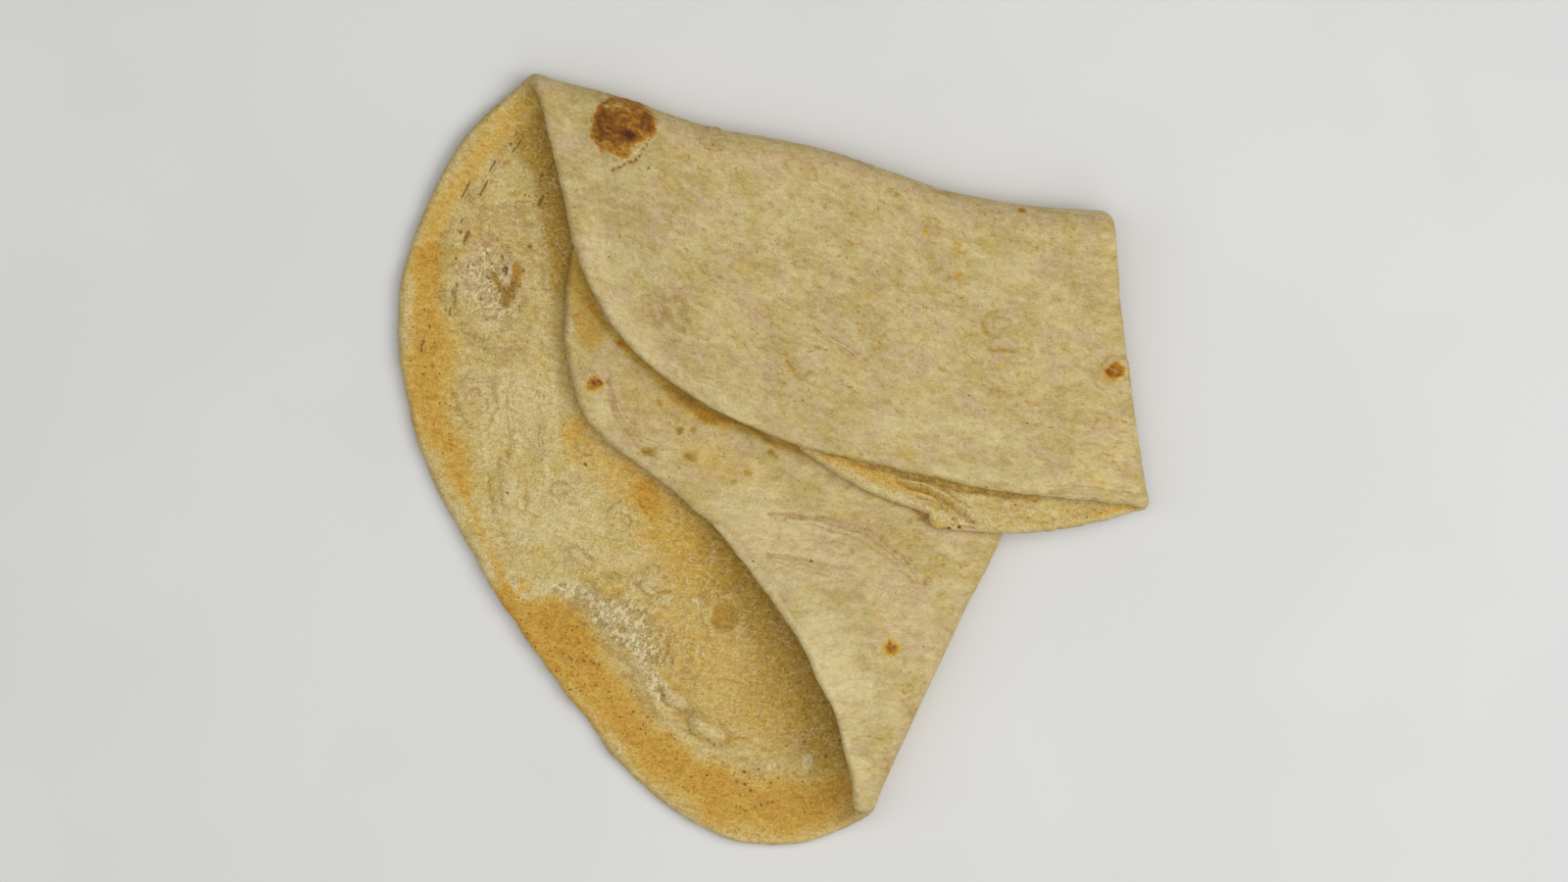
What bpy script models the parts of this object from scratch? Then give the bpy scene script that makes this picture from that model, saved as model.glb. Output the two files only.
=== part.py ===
"""Tandoor flatbread: one round sheet of bread, folded in half and then folded over once more.

Lengths are in metres, with +Z up and the origin at the middle of the footprint, on the table.

The sheet is laid out flat first. Two creases cross in it at a point called the heel. A point of the
flat sheet has the coordinates a, its distance across the side crease, and b, its distance across the
top crease:

    floor   a < 0, b < 0   lies on the table
    flap    a > 0, b < 0   the first fold, over the floor
    lining  a > 0, b > 0   the flap's far end, carried back over the flap by the second fold
    cover   a < 0, b > 0   the floor's far end, carried over everything by the second fold

fold_sheet() bends the flat points into place, and Solidify gives the sheet its thickness.
"""
import math

import bmesh
import bpy
import numpy as np

MM = 0.001
NAME = "flatbread"

# The sheet
SHEET_THICKNESS = 4.0 * MM
RIM_THICKNESS = 4.8 * MM
RIM_WIDTH = 12.0 * MM          # over this width the rim's bead fades into the sheet
RIM_EDGE = 0.3                 # thickness right at the edge, as a share of the bead's
LAYER = 5.3 * MM               # step from one resting layer to the next, middle to middle

# Distance from the heel to the sheet's rim, round the flat sheet from the floor's end of the top
# crease: (angle in degrees, distance in mm)
RIM_REACH = (
    (0, 221), (8, 240.8), (20, 256.9), (32, 259.3), (45, 255.2), (58, 253.1), (68, 259.4),
    (77, 264.8), (84, 260.2), (90, 242.4), (92.3, 241.5), (94, 232), (97, 217.6), (100, 206.8),
    (108, 190.1), (115, 182.7), (122, 179), (128, 180.2), (135, 187.3), (144, 200.5), (155, 200.5),
    (170, 190), (182, 175), (200, 171), (214, 173), (221, 173.6), (228, 166.4), (236, 155),
    (247, 142.2), (258, 126.3), (270, 114), (284, 117.8), (297, 130.1), (310, 149.5), (320, 177.5),
    (327, 198.5), (334, 215), (341, 219.4), (350, 216.4),
)

# Where the creases run, seen from above: angles in degrees, counter-clockwise from +X
HEEL = (123.2 * MM, 88.3 * MM)
TOP_CREASE_ANGLE = 166.5
SIDE_CREASE_ANGLE = 247.55     # the fold between the floor and the flap
COVER_CREASE_ANGLE = 275.9     # the same crease after the second fold, between lining and cover
TOP_CREASE_LENGTH = 219.0 * MM
SIDE_CREASE_LENGTH = 239.0 * MM
COVER_CREASE_LENGTH = 108.0 * MM

TOP_CREASE_BOW = 5.2 * MM      # how far the top crease bows inwards
SIDE_CREASE_BOW = 6.4 * MM     # how far the side crease bows outwards

# How the creases' edges waver off those bows: (share of the length from the heel, mm)
TOP_CREASE_WAVE = (            # inwards
    (0, 0), (0.06, 1.2), (0.15, 2.6), (0.28, 2.4), (0.38, -0.4), (0.50, -2.9), (0.60, -1.8),
    (0.69, -0.2), (0.78, -0.9), (0.87, -1.5), (1, 0),
)
SIDE_CREASE_WAVE = (           # outwards
    (0, 0), (0.45, 0), (0.56, -0.2), (0.635, -1.5), (0.70, -1.6), (0.78, -1.5), (0.875, -1.0),
    (0.95, -0.1), (1, 0.5),
)
COVER_CREASE_WAVE = (          # inwards
    (0, 0), (0.10, 0.6), (0.27, 1.4), (0.5, 0.9), (0.7, 0.1), (0.9, -1.3), (1, -1.5),
)
WAVE_FADE = 75.0 * MM          # away from its crease, a waver fades over this

# How round the folds are
TIGHT_FOLD = 3.5 * MM          # radius at the heel
PUFFY_FOLD = 11.0 * MM         # radius at the far end of the side crease
PUFF_START, PUFF_END = 95.0 * MM, 205.0 * MM
COVER_FOLD = 4.0 * MM          # radius at the other end, between lining and cover
COVER_START, COVER_END = 15.0 * MM, 90.0 * MM
TOP_PUFF = 1.8 * MM            # how much the top crease's fold stands above the layers
TOP_PUFF_START, TOP_PUFF_END = 8.0 * MM, 55.0 * MM
VAULT_START, VAULT_END = 35.0 * MM, 150.0 * MM    # the flap comes down from its fold over this
PINCH_START, PINCH_END = 8.0 * MM, 60.0 * MM      # and the cover over this

# How the upper layers lie past what holds them up
DROOP_START, DROOP_END = 4.0 * MM, 72.0 * MM      # lining and cover, outside the side crease
SAG_DEPTH = 4.0 * MM           # the cover, past the lining's rim
SAG_START, SAG_END = 4.0 * MM, 34.0 * MM
END_SAG_DEPTH = 4.0 * MM                          # the cover, at the open end of the top crease
END_SAG_START = 182.0 * MM
END_SAG_WIDTH = 45.0 * MM

# Unevenness
RIPPLE_HEIGHT = 1.2 * MM
RIPPLE_LENGTH = 74.0 * MM
RIPPLE_WAVES = ((1.0, 0.3, 0.0), (-0.5, 0.8, 1.0))         # waves along x, along y, phase
FRILL_WIDTH = 26.0 * MM
FRILL_HEIGHT = {"floor": 2.0 * MM, "flap": 0.8 * MM, "lining": 0.0, "cover": 1.0 * MM}
FRILL_WAVES = ((9, 0.3, 0.0), (14, 0.2, 1.0))              # waves round the rim, share, phase

# The mesh: a square block of cells round the heel, then rings out to the rim
BLOCK_CELLS = 30
RINGS = 9
BLOCK_REACH = 0.62             # half the block's width, as a share of the sheet's reach
BLOCK_ROUNDNESS = 0.25
CREASE_CELL = 1.8 / 220.0      # the cell beside a crease, as a share of the sheet's reach
RING_CROWDING = 2.0            # above 1, rings crowd towards the rim

CRUST_COLOUR = (0.52, 0.40, 0.19, 1.0)
CRUST_ROUGHNESS = 0.85


def direction(angle):
    """Return the unit vector at an angle in degrees."""
    return np.array([math.cos(math.radians(angle)), math.sin(math.radians(angle))])


ALONG_TOP = direction(TOP_CREASE_ANGLE)
INWARD = direction(TOP_CREASE_ANGLE + 90.0)
DOWN_SIDE = direction(SIDE_CREASE_ANGLE)
DOWN_COVER = direction(COVER_CREASE_ANGLE)


def ease(value, start, end):
    """Go smoothly from 0 at start to 1 at end."""
    step = np.clip((value - start) / (end - start), 0.0, 1.0)
    return step * step * (3.0 - 2.0 * step)


def smooth_curve(knots, where):
    """Return the height of a smooth curve through (place, mm) knots, in metres."""
    at, height = np.array(knots, dtype=float).T
    height = height * MM
    slope = np.zeros(len(at))
    slope[1:-1] = (height[2:] - height[:-2]) / (at[2:] - at[:-2])
    left = np.clip(np.searchsorted(at, where, side="right") - 1, 0, len(at) - 2)
    span = at[left + 1] - at[left]
    t = (where - at[left]) / span
    return (height[left] * (1.0 + 2.0 * t) * (1.0 - t) ** 2
            + height[left + 1] * t * t * (3.0 - 2.0 * t)
            + span * slope[left] * t * (1.0 - t) ** 2
            - span * slope[left + 1] * t * t * (1.0 - t))


def rim_reach(angle):
    """Return the distance from the heel to the rim at an angle in radians."""
    knots = np.array(RIM_REACH, dtype=float)
    knots = np.vstack([knots[-2:] - (360.0, 0.0), knots, knots[:2] + (360.0, 0.0)])
    return smooth_curve(knots, np.degrees(angle) % 360.0)


def side_fold_radius(b):
    """Return the radius of the side crease's fold: tight at the heel, rounder at both ends."""
    return (TIGHT_FOLD + (PUFFY_FOLD - TIGHT_FOLD) * ease(-b, PUFF_START, PUFF_END)
            + (COVER_FOLD - TIGHT_FOLD) * ease(b, COVER_START, COVER_END))


def flap_height(across, b):
    """Return how high the flap's middle is above the floor's, at a distance from the side crease."""
    fold_height = 2.0 * side_fold_radius(b)
    return LAYER + (fold_height - LAYER) * (1.0 - ease(across, VAULT_START, VAULT_END))


def cover_gap(across, b):
    """Return how high the cover's middle is above the lining's."""
    fold_height = 2.0 * side_fold_radius(b)
    return LAYER + (fold_height - LAYER) * (1.0 - ease(across, PINCH_START, PINCH_END))


def lining_height(across, down):
    """Return how high the lining's middle is above the floor's, from lower crease distances."""
    puff = TOP_PUFF * (1.0 - ease(down, TOP_PUFF_START, TOP_PUFF_END))
    on_flap = flap_height(np.maximum(across, 0.0), -down) + LAYER + puff
    return on_flap * (1.0 - ease(-across, DROOP_START, DROOP_END))


def cover_sag(across, down):
    """Return how far the cover comes down where no lining holds it up."""
    past_lining = np.hypot(across, down) - rim_reach(math.pi + np.arctan2(down, across))
    sag = SAG_DEPTH * ease(past_lining, SAG_START, SAG_END)
    at_end = ease(across, END_SAG_START, TOP_CREASE_LENGTH) * (1.0 - ease(down, 0.0, END_SAG_WIDTH))
    return sag + END_SAG_DEPTH * at_end


def top_bow(across, down):
    """Return how far the top crease moves a point inwards of where straight creases put it."""
    share = np.clip(across / TOP_CREASE_LENGTH, 0.0, 1.0)
    wave = smooth_curve(TOP_CREASE_WAVE, share) * (1.0 - ease(down, 0.0, WAVE_FADE))
    return TOP_CREASE_BOW * np.sin(math.pi * share) + wave


def side_bow(down):
    """Return how far the side crease lies outwards of the straight line between its ends."""
    return SIDE_CREASE_BOW * np.sin(math.pi * np.clip(down / SIDE_CREASE_LENGTH, 0.0, 1.0))


def side_wave(across, down):
    """Return how far the side crease's waver moves a lower point outwards."""
    wave = smooth_curve(SIDE_CREASE_WAVE, np.clip(down / SIDE_CREASE_LENGTH, 0.0, 1.0))
    return wave * (1.0 - ease(across, 0.0, WAVE_FADE))


def cover_wave(across, down):
    """Return how far the waver of the cover's side crease moves an upper point inwards."""
    wave = smooth_curve(COVER_CREASE_WAVE, np.clip(down / COVER_CREASE_LENGTH, 0.0, 1.0))
    return wave * (1.0 - ease(across, 0.0, WAVE_FADE))


def lower_distances(plan):
    """Return a plan point's distances from the side crease and from the top crease."""
    to_creases = np.linalg.inv(np.column_stack([ALONG_TOP, DOWN_SIDE]))
    across, down = np.moveaxis((plan - HEEL) @ to_creases.T, -1, 0)
    return across + side_bow(down), down


def ripple(plan):
    """Return the gentle unevenness of everything above the floor, from 0 to RIPPLE_HEIGHT."""
    x, y = np.moveaxis(plan, -1, 0) * (2.0 * math.pi / RIPPLE_LENGTH)
    waves = [np.sin(along_x * x + along_y * y + phase) for along_x, along_y, phase in RIPPLE_WAVES]
    return RIPPLE_HEIGHT * (0.5 + 0.5 * sum(waves) / len(waves))


def from_rim(a, b):
    """Return how far a point of the flat sheet is inside the rim."""
    return np.maximum(rim_reach(np.arctan2(-b, -a)) - np.hypot(a, b), 0.0)


def body_share(inside):
    """Return the thickness, before the edge is rounded, as a share of the rim bead's."""
    sheet_share = SHEET_THICKNESS / RIM_THICKNESS
    return 1.0 + (sheet_share - 1.0) * ease(inside, RIM_THICKNESS / 2.0, RIM_WIDTH)


def frill(a, b, flap_share, upper_share):
    """Return how far the rim lifts off what is under it."""
    angle = np.arctan2(-b, -a)
    lower = FRILL_HEIGHT["floor"] * (1.0 - flap_share) + FRILL_HEIGHT["flap"] * flap_share
    upper = FRILL_HEIGHT["cover"] * (1.0 - flap_share) + FRILL_HEIGHT["lining"] * flap_share
    height = lower * (1.0 - upper_share) + upper * upper_share
    waves = sum(share * np.sin(count * angle + phase) for count, share, phase in FRILL_WAVES)
    return height * (0.5 + waves) * (1.0 - ease(from_rim(a, b), 0.0, FRILL_WIDTH))


def fold_sheet(a, b):
    """Bend points of the flat sheet into the folded bread and return them as x, y, z."""
    quarter_turn = math.pi / 2.0

    # First fold, across the side crease
    radius = side_fold_radius(b)
    turn = np.clip(a / radius, -quarter_turn, quarter_turn)
    flap_share = 0.5 + 0.5 * np.sin(turn)
    across = radius * (1.0 - np.cos(turn)) + np.maximum(0.0, np.abs(a) - quarter_turn * radius)
    above_floor = flap_height(across, b)

    # Second fold, across the top crease, round the outside of the first
    heel_line = np.zeros_like(across)
    full_height = (lining_height(across, heel_line) + cover_gap(across, heel_line)
                   - cover_sag(across, heel_line))
    radius = full_height / 2.0
    turn = np.clip(b / radius, -quarter_turn, quarter_turn)
    upper_share = 0.5 + 0.5 * np.sin(turn)
    inset = flap_share * flap_height(across, heel_line)
    down = (radius - (radius - inset) * np.cos(turn)
            + np.maximum(0.0, np.abs(b) - quarter_turn * radius))

    # Place in plan
    lower_share = 1.0 - upper_share
    way_down = lower_share[..., None] * DOWN_SIDE + upper_share[..., None] * DOWN_COVER
    plan = (np.array(HEEL) + across[..., None] * ALONG_TOP + down[..., None] * way_down
            + top_bow(across, down)[..., None] * INWARD
            + (upper_share * cover_wave(across, down)
               - lower_share * (side_bow(down) + side_wave(across, down)))[..., None] * ALONG_TOP)

    # Height of the layer's middle above the floor's
    lining = lining_height(*lower_distances(plan))
    gap = cover_gap(across, b)
    cover = lining + gap - cover_sag(across, down)
    upper = cover - flap_share * gap
    height = lower_share * flap_share * above_floor + upper_share * upper
    height = height + ripple(plan) * np.clip(height / LAYER, 0.0, 1.0)
    height = height + frill(a, b, flap_share, upper_share)
    return np.column_stack([plan, height + body_share(from_rim(a, b)) * RIM_THICKNESS / 2.0])


def spread_from_crease(line):
    """Move a block's grid line, from -1 to 1, so that the lines crowd at the crease at 0."""
    first = CREASE_CELL / BLOCK_REACH
    half_cells = BLOCK_CELLS / 2.0
    crowding = math.log(1.0 / first) / math.log(half_cells)
    return np.sign(line) * np.abs(line) ** crowding


def flat_positions(u, v):
    """Turn mesh coordinates into sheet coordinates a, b: |u|, |v| up to 1 is the block, to 2 rings."""
    outward = np.maximum(np.abs(u), np.abs(v))
    ring = np.clip(outward - 1.0, 0.0, 1.0)
    in_block = np.maximum(outward, 1.0)
    p, q = spread_from_crease(u / in_block), spread_from_crease(v / in_block)
    x = BLOCK_REACH * p * np.sqrt(1.0 - BLOCK_ROUNDNESS * q * q)
    y = BLOCK_REACH * q * np.sqrt(1.0 - BLOCK_ROUNDNESS * p * p)
    radius = np.maximum(np.hypot(x, y), 1e-9)
    to_rim = 1.0 - (1.0 - ring) ** RING_CROWDING
    stretch = (1.0 - to_rim) + to_rim / radius
    x, y = x * stretch, y * stretch
    reach = rim_reach(np.arctan2(-y, -x))
    return x * reach, y * reach


def flat_mesh():
    """Add a square grid and extrude its border in rings, and return the object."""
    bpy.ops.mesh.primitive_grid_add(x_subdivisions=BLOCK_CELLS, y_subdivisions=BLOCK_CELLS, size=2.0)
    sheet = bpy.context.object
    mesh = bmesh.new()
    mesh.from_mesh(sheet.data)
    for ring in range(RINGS):
        border = [edge for edge in mesh.edges if edge.is_boundary]
        grown = bmesh.ops.extrude_edge_only(mesh, edges=border)["geom"]
        for vert in grown:
            if isinstance(vert, bmesh.types.BMVert):
                vert.co *= (RINGS + ring + 1) / (RINGS + ring)
    bmesh.ops.recalc_face_normals(mesh, faces=mesh.faces[:])
    mesh.to_mesh(sheet.data)
    mesh.free()
    return sheet


def thickness_share(a, b):
    """Return the thickness at each point as a share of the rim bead's thickness."""
    inside = from_rim(a, b)
    edge = 1.0 - np.minimum(inside / (RIM_THICKNESS / 2.0), 1.0)
    return np.maximum(np.sqrt(1.0 - edge ** 2), RIM_EDGE) * body_share(inside)


def rest_on_table(mesh):
    """Flatten what would dip below the table, and put the origin at the middle of the footprint."""
    points = np.empty(len(mesh.vertices) * 3)
    mesh.vertices.foreach_get("co", points)
    points = points.reshape(-1, 3)
    points[:, 2] = np.maximum(points[:, 2], 0.0)
    points[:, :2] -= (points[:, :2].min(axis=0) + points[:, :2].max(axis=0)) / 2.0
    mesh.vertices.foreach_set("co", points.ravel())


def make_flatbread():
    """Model the folded sheet as one closed solid."""
    bread = flat_mesh()
    bread.name = bread.data.name = NAME
    points = np.empty(len(bread.data.vertices) * 3)
    bread.data.vertices.foreach_get("co", points)
    u, v, _ = points.reshape(-1, 3).T
    a, b = flat_positions(u, v)
    bread.data.vertices.foreach_set("co", fold_sheet(a, b).ravel())

    group = bread.vertex_groups.new(name="thickness")
    for index, weight in enumerate(thickness_share(a, b)):
        group.add([index], float(weight), "REPLACE")
    solidify = bread.modifiers.new("sheet thickness", "SOLIDIFY")
    solidify.thickness = RIM_THICKNESS
    solidify.offset = 0.0
    solidify.use_even_offset = True
    solidify.vertex_group = group.name
    bpy.ops.object.modifier_apply(modifier=solidify.name)
    rest_on_table(bread.data)
    bread.data.shade_smooth()
    return bread


def crust_material():
    """Make the baked crust's material."""
    material = bpy.data.materials.new("baked crust")
    material.use_nodes = True
    shader = material.node_tree.nodes["Principled BSDF"]
    shader.inputs["Base Color"].default_value = CRUST_COLOUR
    shader.inputs["Roughness"].default_value = CRUST_ROUGHNESS
    shader.inputs["Metallic"].default_value = 0.0
    material.diffuse_color = CRUST_COLOUR
    return material


def main():
    """Clear the scene and model the bread in a collection of its own."""
    for old in list(bpy.data.objects):
        bpy.data.objects.remove(old)
    bread = make_flatbread()
    bread.data.materials.append(crust_material())
    collection = bpy.data.collections.new(NAME)
    bpy.context.scene.collection.children.link(collection)
    for holder in bread.users_collection:
        holder.objects.unlink(bread)
    collection.objects.link(bread)


main()
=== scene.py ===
"""Tandoor flatbread: one baked sheet, folded in half and over once more, lying on a pale table.

The sheet is modelled flat, bent into its two folds, given its thickness, and then its skin is
worked: blisters, creases, dents and pleats are pressed into the faces that show, and the crust is
browned, floured and speckled. Lengths are in metres unless a name says mm.
"""
import logging
import math
from collections.abc import Callable
from dataclasses import dataclass, field
from enum import Enum

import bpy
import numpy as np
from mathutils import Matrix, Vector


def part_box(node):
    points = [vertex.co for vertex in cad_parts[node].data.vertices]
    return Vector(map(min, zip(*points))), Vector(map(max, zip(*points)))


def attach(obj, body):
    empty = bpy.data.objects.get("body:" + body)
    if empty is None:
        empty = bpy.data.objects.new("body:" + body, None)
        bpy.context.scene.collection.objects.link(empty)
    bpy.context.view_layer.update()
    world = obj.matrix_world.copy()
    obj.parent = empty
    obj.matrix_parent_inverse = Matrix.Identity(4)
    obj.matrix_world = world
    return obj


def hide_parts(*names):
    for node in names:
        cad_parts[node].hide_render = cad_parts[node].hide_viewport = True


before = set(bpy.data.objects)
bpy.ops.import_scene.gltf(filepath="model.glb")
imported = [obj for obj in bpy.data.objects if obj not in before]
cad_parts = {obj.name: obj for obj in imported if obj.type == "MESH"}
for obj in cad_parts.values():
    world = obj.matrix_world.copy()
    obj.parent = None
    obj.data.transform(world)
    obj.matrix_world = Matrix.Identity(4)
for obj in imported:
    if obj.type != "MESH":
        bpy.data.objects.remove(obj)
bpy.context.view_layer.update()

MM = 0.001
BODY = "root"
CAD_NODE = "flatbread"

logging.basicConfig(level=logging.INFO, format="%(name)s: %(message)s")
log = logging.getLogger("flatbread")

Array = np.ndarray
Colour = tuple[float, float, float]
Spot = tuple[float, float]
Row = tuple["float | tuple[Spot, ...] | Dots", ...]

RAGGED_SIZES = (0.35, 0.15)    # sizes of the lumps of a ragged outline, as shares of its width
LONGEST_WAVER = 14.0           # mm between the bends of a wavering line, at most
LIP_PLACE = 1.15               # where a relief's lip is highest, as a share of its own reach
LIP_WIDTH = 0.45
SEAM_OVERLAP = 2.0             # mm that work on the outer face runs on past a crease
BUILD_UP = 0.35                # share of the earlier paint that stays under a new mark
MOST_WORKED = 1.2              # mm of relief, either way, that the crust's colours follow
MOST_PAINT = 1.2
BAKE_LAYOUT = "OFBake"
WANDERINGS = ((7.0, 0.8, 51), (2.6, 0.4, 53))    # mm from push to push, mm of reach, seed
RIM_SEED, OUTSIDE_SEED, INSIDE_SEED, EDGE_SEED = 11, 21, 31, 41


def ease(value: Array | float, start: float, end: float) -> Array:
    """Go smoothly from 0 at start to 1 at end.

    Args:
        value: What is compared with start and end.
        start: Where the result leaves 0.
        end: Where the result reaches 1.

    Returns:
        The share from 0 to 1.
    """
    step = np.clip((value - start) / (end - start), 0.0, 1.0)
    return step * step * (3.0 - 2.0 * step)


def smooth_curve(knots: Array | tuple[Spot, ...], where: Array) -> Array:
    """Run a smooth curve through knots.

    Args:
        knots: Each knot's place and its height in mm.
        where: The places where the height is wanted.

    Returns:
        The heights in metres.
    """
    at, height = np.array(knots, dtype=float).T
    height = height * MM
    slope = np.zeros(len(at))
    slope[1:-1] = (height[2:] - height[:-2]) / (at[2:] - at[:-2])
    left = np.clip(np.searchsorted(at, where, side="right") - 1, 0, len(at) - 2)
    span = at[left + 1] - at[left]
    t = (where - at[left]) / span
    return (height[left] * (1.0 + 2.0 * t) * (1.0 - t) ** 2
            + height[left + 1] * t * t * (3.0 - 2.0 * t)
            + span * slope[left] * t * (1.0 - t) ** 2
            - span * slope[left + 1] * t * t * (1.0 - t))


def direction(degrees: float) -> Array:
    """Return the unit vector at an angle, counter-clockwise from +X."""
    return np.array([math.cos(math.radians(degrees)), math.sin(math.radians(degrees))])


def lumps(points: Array, size: float, seed: int) -> Array:
    """Return smooth random unevenness from -1 to 1, the same each run.

    Args:
        points: Points in two dimensions.
        size: Distance between neighbouring highs and lows.
        seed: Which pattern it is.

    Returns:
        One value for each point.
    """
    rng = np.random.default_rng(seed)
    order, level = rng.permutation(1024), rng.uniform(-1.0, 1.0, 1024)
    at = points / size + rng.uniform(0.0, 100.0, 2)
    cell = np.floor(at).astype(int)
    part = at - cell
    part = part * part * (3.0 - 2.0 * part)

    def corner(right: int, up: int) -> Array:
        """Return the level at one corner of each point's cell."""
        return level[order[(order[(cell[:, 0] + right) % 1024] + cell[:, 1] + up) % 1024]]

    low = corner(0, 0) + (corner(1, 0) - corner(0, 0)) * part[:, 0]
    high = corner(0, 1) + (corner(1, 1) - corner(0, 1)) * part[:, 0]
    return low + (high - low) * part[:, 1]


def pushed(plan: Array, size: float, reach: float, seed: int) -> Array:
    """Move points to and fro by up to reach, where size is the distance from push to push."""
    return plan + reach * np.column_stack([lumps(plan, size, seed), lumps(plan, size, seed + 1)])


def wandered(plan: Array) -> Array:
    """Move points a little to and fro, so that nothing on the bread is quite straight or round."""
    for size, reach, seed in WANDERINGS:
        plan = pushed(plan, size, reach, seed)
    return plan


def seed_at(x: float, y: float) -> int:
    """Return a seed that belongs to a place."""
    return int(abs(x * 7.0 + y * 13.0))


class Surface(Enum):
    """The four quarters of the sheet, each with the face of it that shows."""

    FLOOR = "the inner face, on the table"
    FLAP = "the outer face of the first fold"
    LINING = "the inner face of the strip under the cover"
    COVER = "the outer face on top of everything"


class Paint(Enum):
    """What can lie on or be baked into the skin, and the light and shade painted on it."""

    TOAST = "toast"        # golden to orange browning
    SCORCH_AND_PAINTED_SHADE = "scorch_and_painted_shade"      # brown to black, and painted shade under the cover's edge
    FLOUR_AND_PAINTED_LIGHT = "flour_and_painted_light"        # pale dusting, and some painted light and highlights
    FLAKY = "flaky"        # cracked and flaking skin
    ROSY = "rosy"          # pinkish tan
    PITS = "pits"          # small dark holes
    OLIVE = "olive"        # a greenish, slightly moist look, and painted shade in hollows
    SPLIT = "split"        # dark open slits and bits of bran
    DAMP_AND_PAINTED_SHADE = "damp_and_painted_shade"          # browner crust and painted shade in the folds


@dataclass(frozen=True)
class Oval:
    """An oval place on the bread, seen from above, in mm."""

    x: float
    y: float
    length: float
    width: float
    turn: float = 0.0
    ragged: float = 0.0

    def distance(self, plan: Array) -> Array:
        """Return 0 at the middle and 1 at the outline, for points in mm."""
        away = plan - (self.x, self.y)
        along, across = direction(self.turn), direction(self.turn + 90.0)
        away = np.hypot(away @ along / (self.length / 2.0), away @ across / (self.width / 2.0))
        if self.ragged:
            width, seed = min(self.length, self.width), seed_at(self.x, self.y)
            coarse, fine = (lumps(plan, width * share, seed + layer)
                            for layer, share in enumerate(RAGGED_SIZES))
            away = away * (1.0 + self.ragged * (coarse + 0.5 * fine))
        return away


@dataclass(frozen=True)
class Line:
    """A bent line on the bread, seen from above, in mm."""

    points: tuple[Spot, ...]
    width: float
    waver: float = 0.0

    def distance(self, plan: Array) -> Array:
        """Return 0 on the line and 1 at half the width from it, for points in mm."""
        if self.waver:
            size = min(4.0 * self.width + 2.0, LONGEST_WAVER)
            plan = pushed(plan, size, self.waver, seed_at(*self.points[0]))
        nearest = np.full(len(plan), np.inf)
        for start, end in zip(self.points, self.points[1:]):
            start, leg = np.array(start), np.subtract(end, start)
            share = np.clip((plan - start) @ leg / (leg @ leg), 0.0, 1.0)
            nearest = np.minimum(nearest, np.linalg.norm(plan - start - share[:, None] * leg, axis=1))
        return nearest / (self.width / 2.0)


@dataclass(frozen=True)
class Dots:
    """Several small round spots on the bread, seen from above, in mm."""

    spots: tuple[Spot, ...]
    size: float

    def distance(self, plan: Array) -> Array:
        """Return 0 at the middle of a spot and 1 at its outline, for points in mm."""
        nearest = np.min([np.linalg.norm(plan - spot, axis=1) for spot in self.spots], axis=0)
        return nearest / (self.size / 2.0)


Shape = Oval | Line | Dots


@dataclass(frozen=True)
class Relief:
    """A dome or hollow over a place, or a ridge or groove along a line."""

    shape: Shape
    rise: float                    # mm, below 0 for a hollow
    lip: float = 0.0               # mm, how far its edge stands up
    steep: float = 1.0             # above 1, a flat top with steep sides

    def height(self, plan: Array) -> Array:
        """Return how far the skin moves out of its face, in mm, for points in mm."""
        away = self.shape.distance(plan)
        top = 1.0 - ease(away, 1.0 - 1.0 / self.steep, 1.0)
        edge = np.exp(-(((away - LIP_PLACE) / LIP_WIDTH) ** 2))
        return self.rise * top + self.lip * edge


@dataclass(frozen=True)
class Mark:
    """A place where the skin is browned, floured, flaky, pitted or given painted shade or light."""

    shape: Shape
    strength: float = 1.0
    core: float = 0.3              # share of the shape that has the full strength

    def amount(self, plan: Array) -> Array:
        """Return how strong the mark is at each point, for points in mm."""
        return self.strength * (1.0 - ease(self.shape.distance(plan), self.core, 1.0))


def shaped(row: Row) -> tuple[Shape | float, ...]:
    """Make the shape that a row of numbers starts with.

    Args:
        row: The points, width and waver of a line, or the x, y, length, width, turn and
            raggedness of an oval, or dots, and then the other numbers of a relief or a mark.

    Returns:
        The shape and the other numbers.
    """
    if isinstance(row[0], Dots):
        return row
    kind, count = (Line, 3) if isinstance(row[0], tuple) else (Oval, 6)
    return kind(*row[:count]), *row[count:]


def reliefs(*rows: Row) -> tuple[Relief, ...]:
    """Make reliefs from rows that end with the rise and, where they matter, lip and steepness."""
    return tuple(Relief(*shaped(row)) for row in rows)


def marks(*rows: Row) -> tuple[Mark, ...]:
    """Make marks from rows that end with the strength and, where it matters, the core."""
    return tuple(Mark(*shaped(row)) for row in rows)


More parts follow.
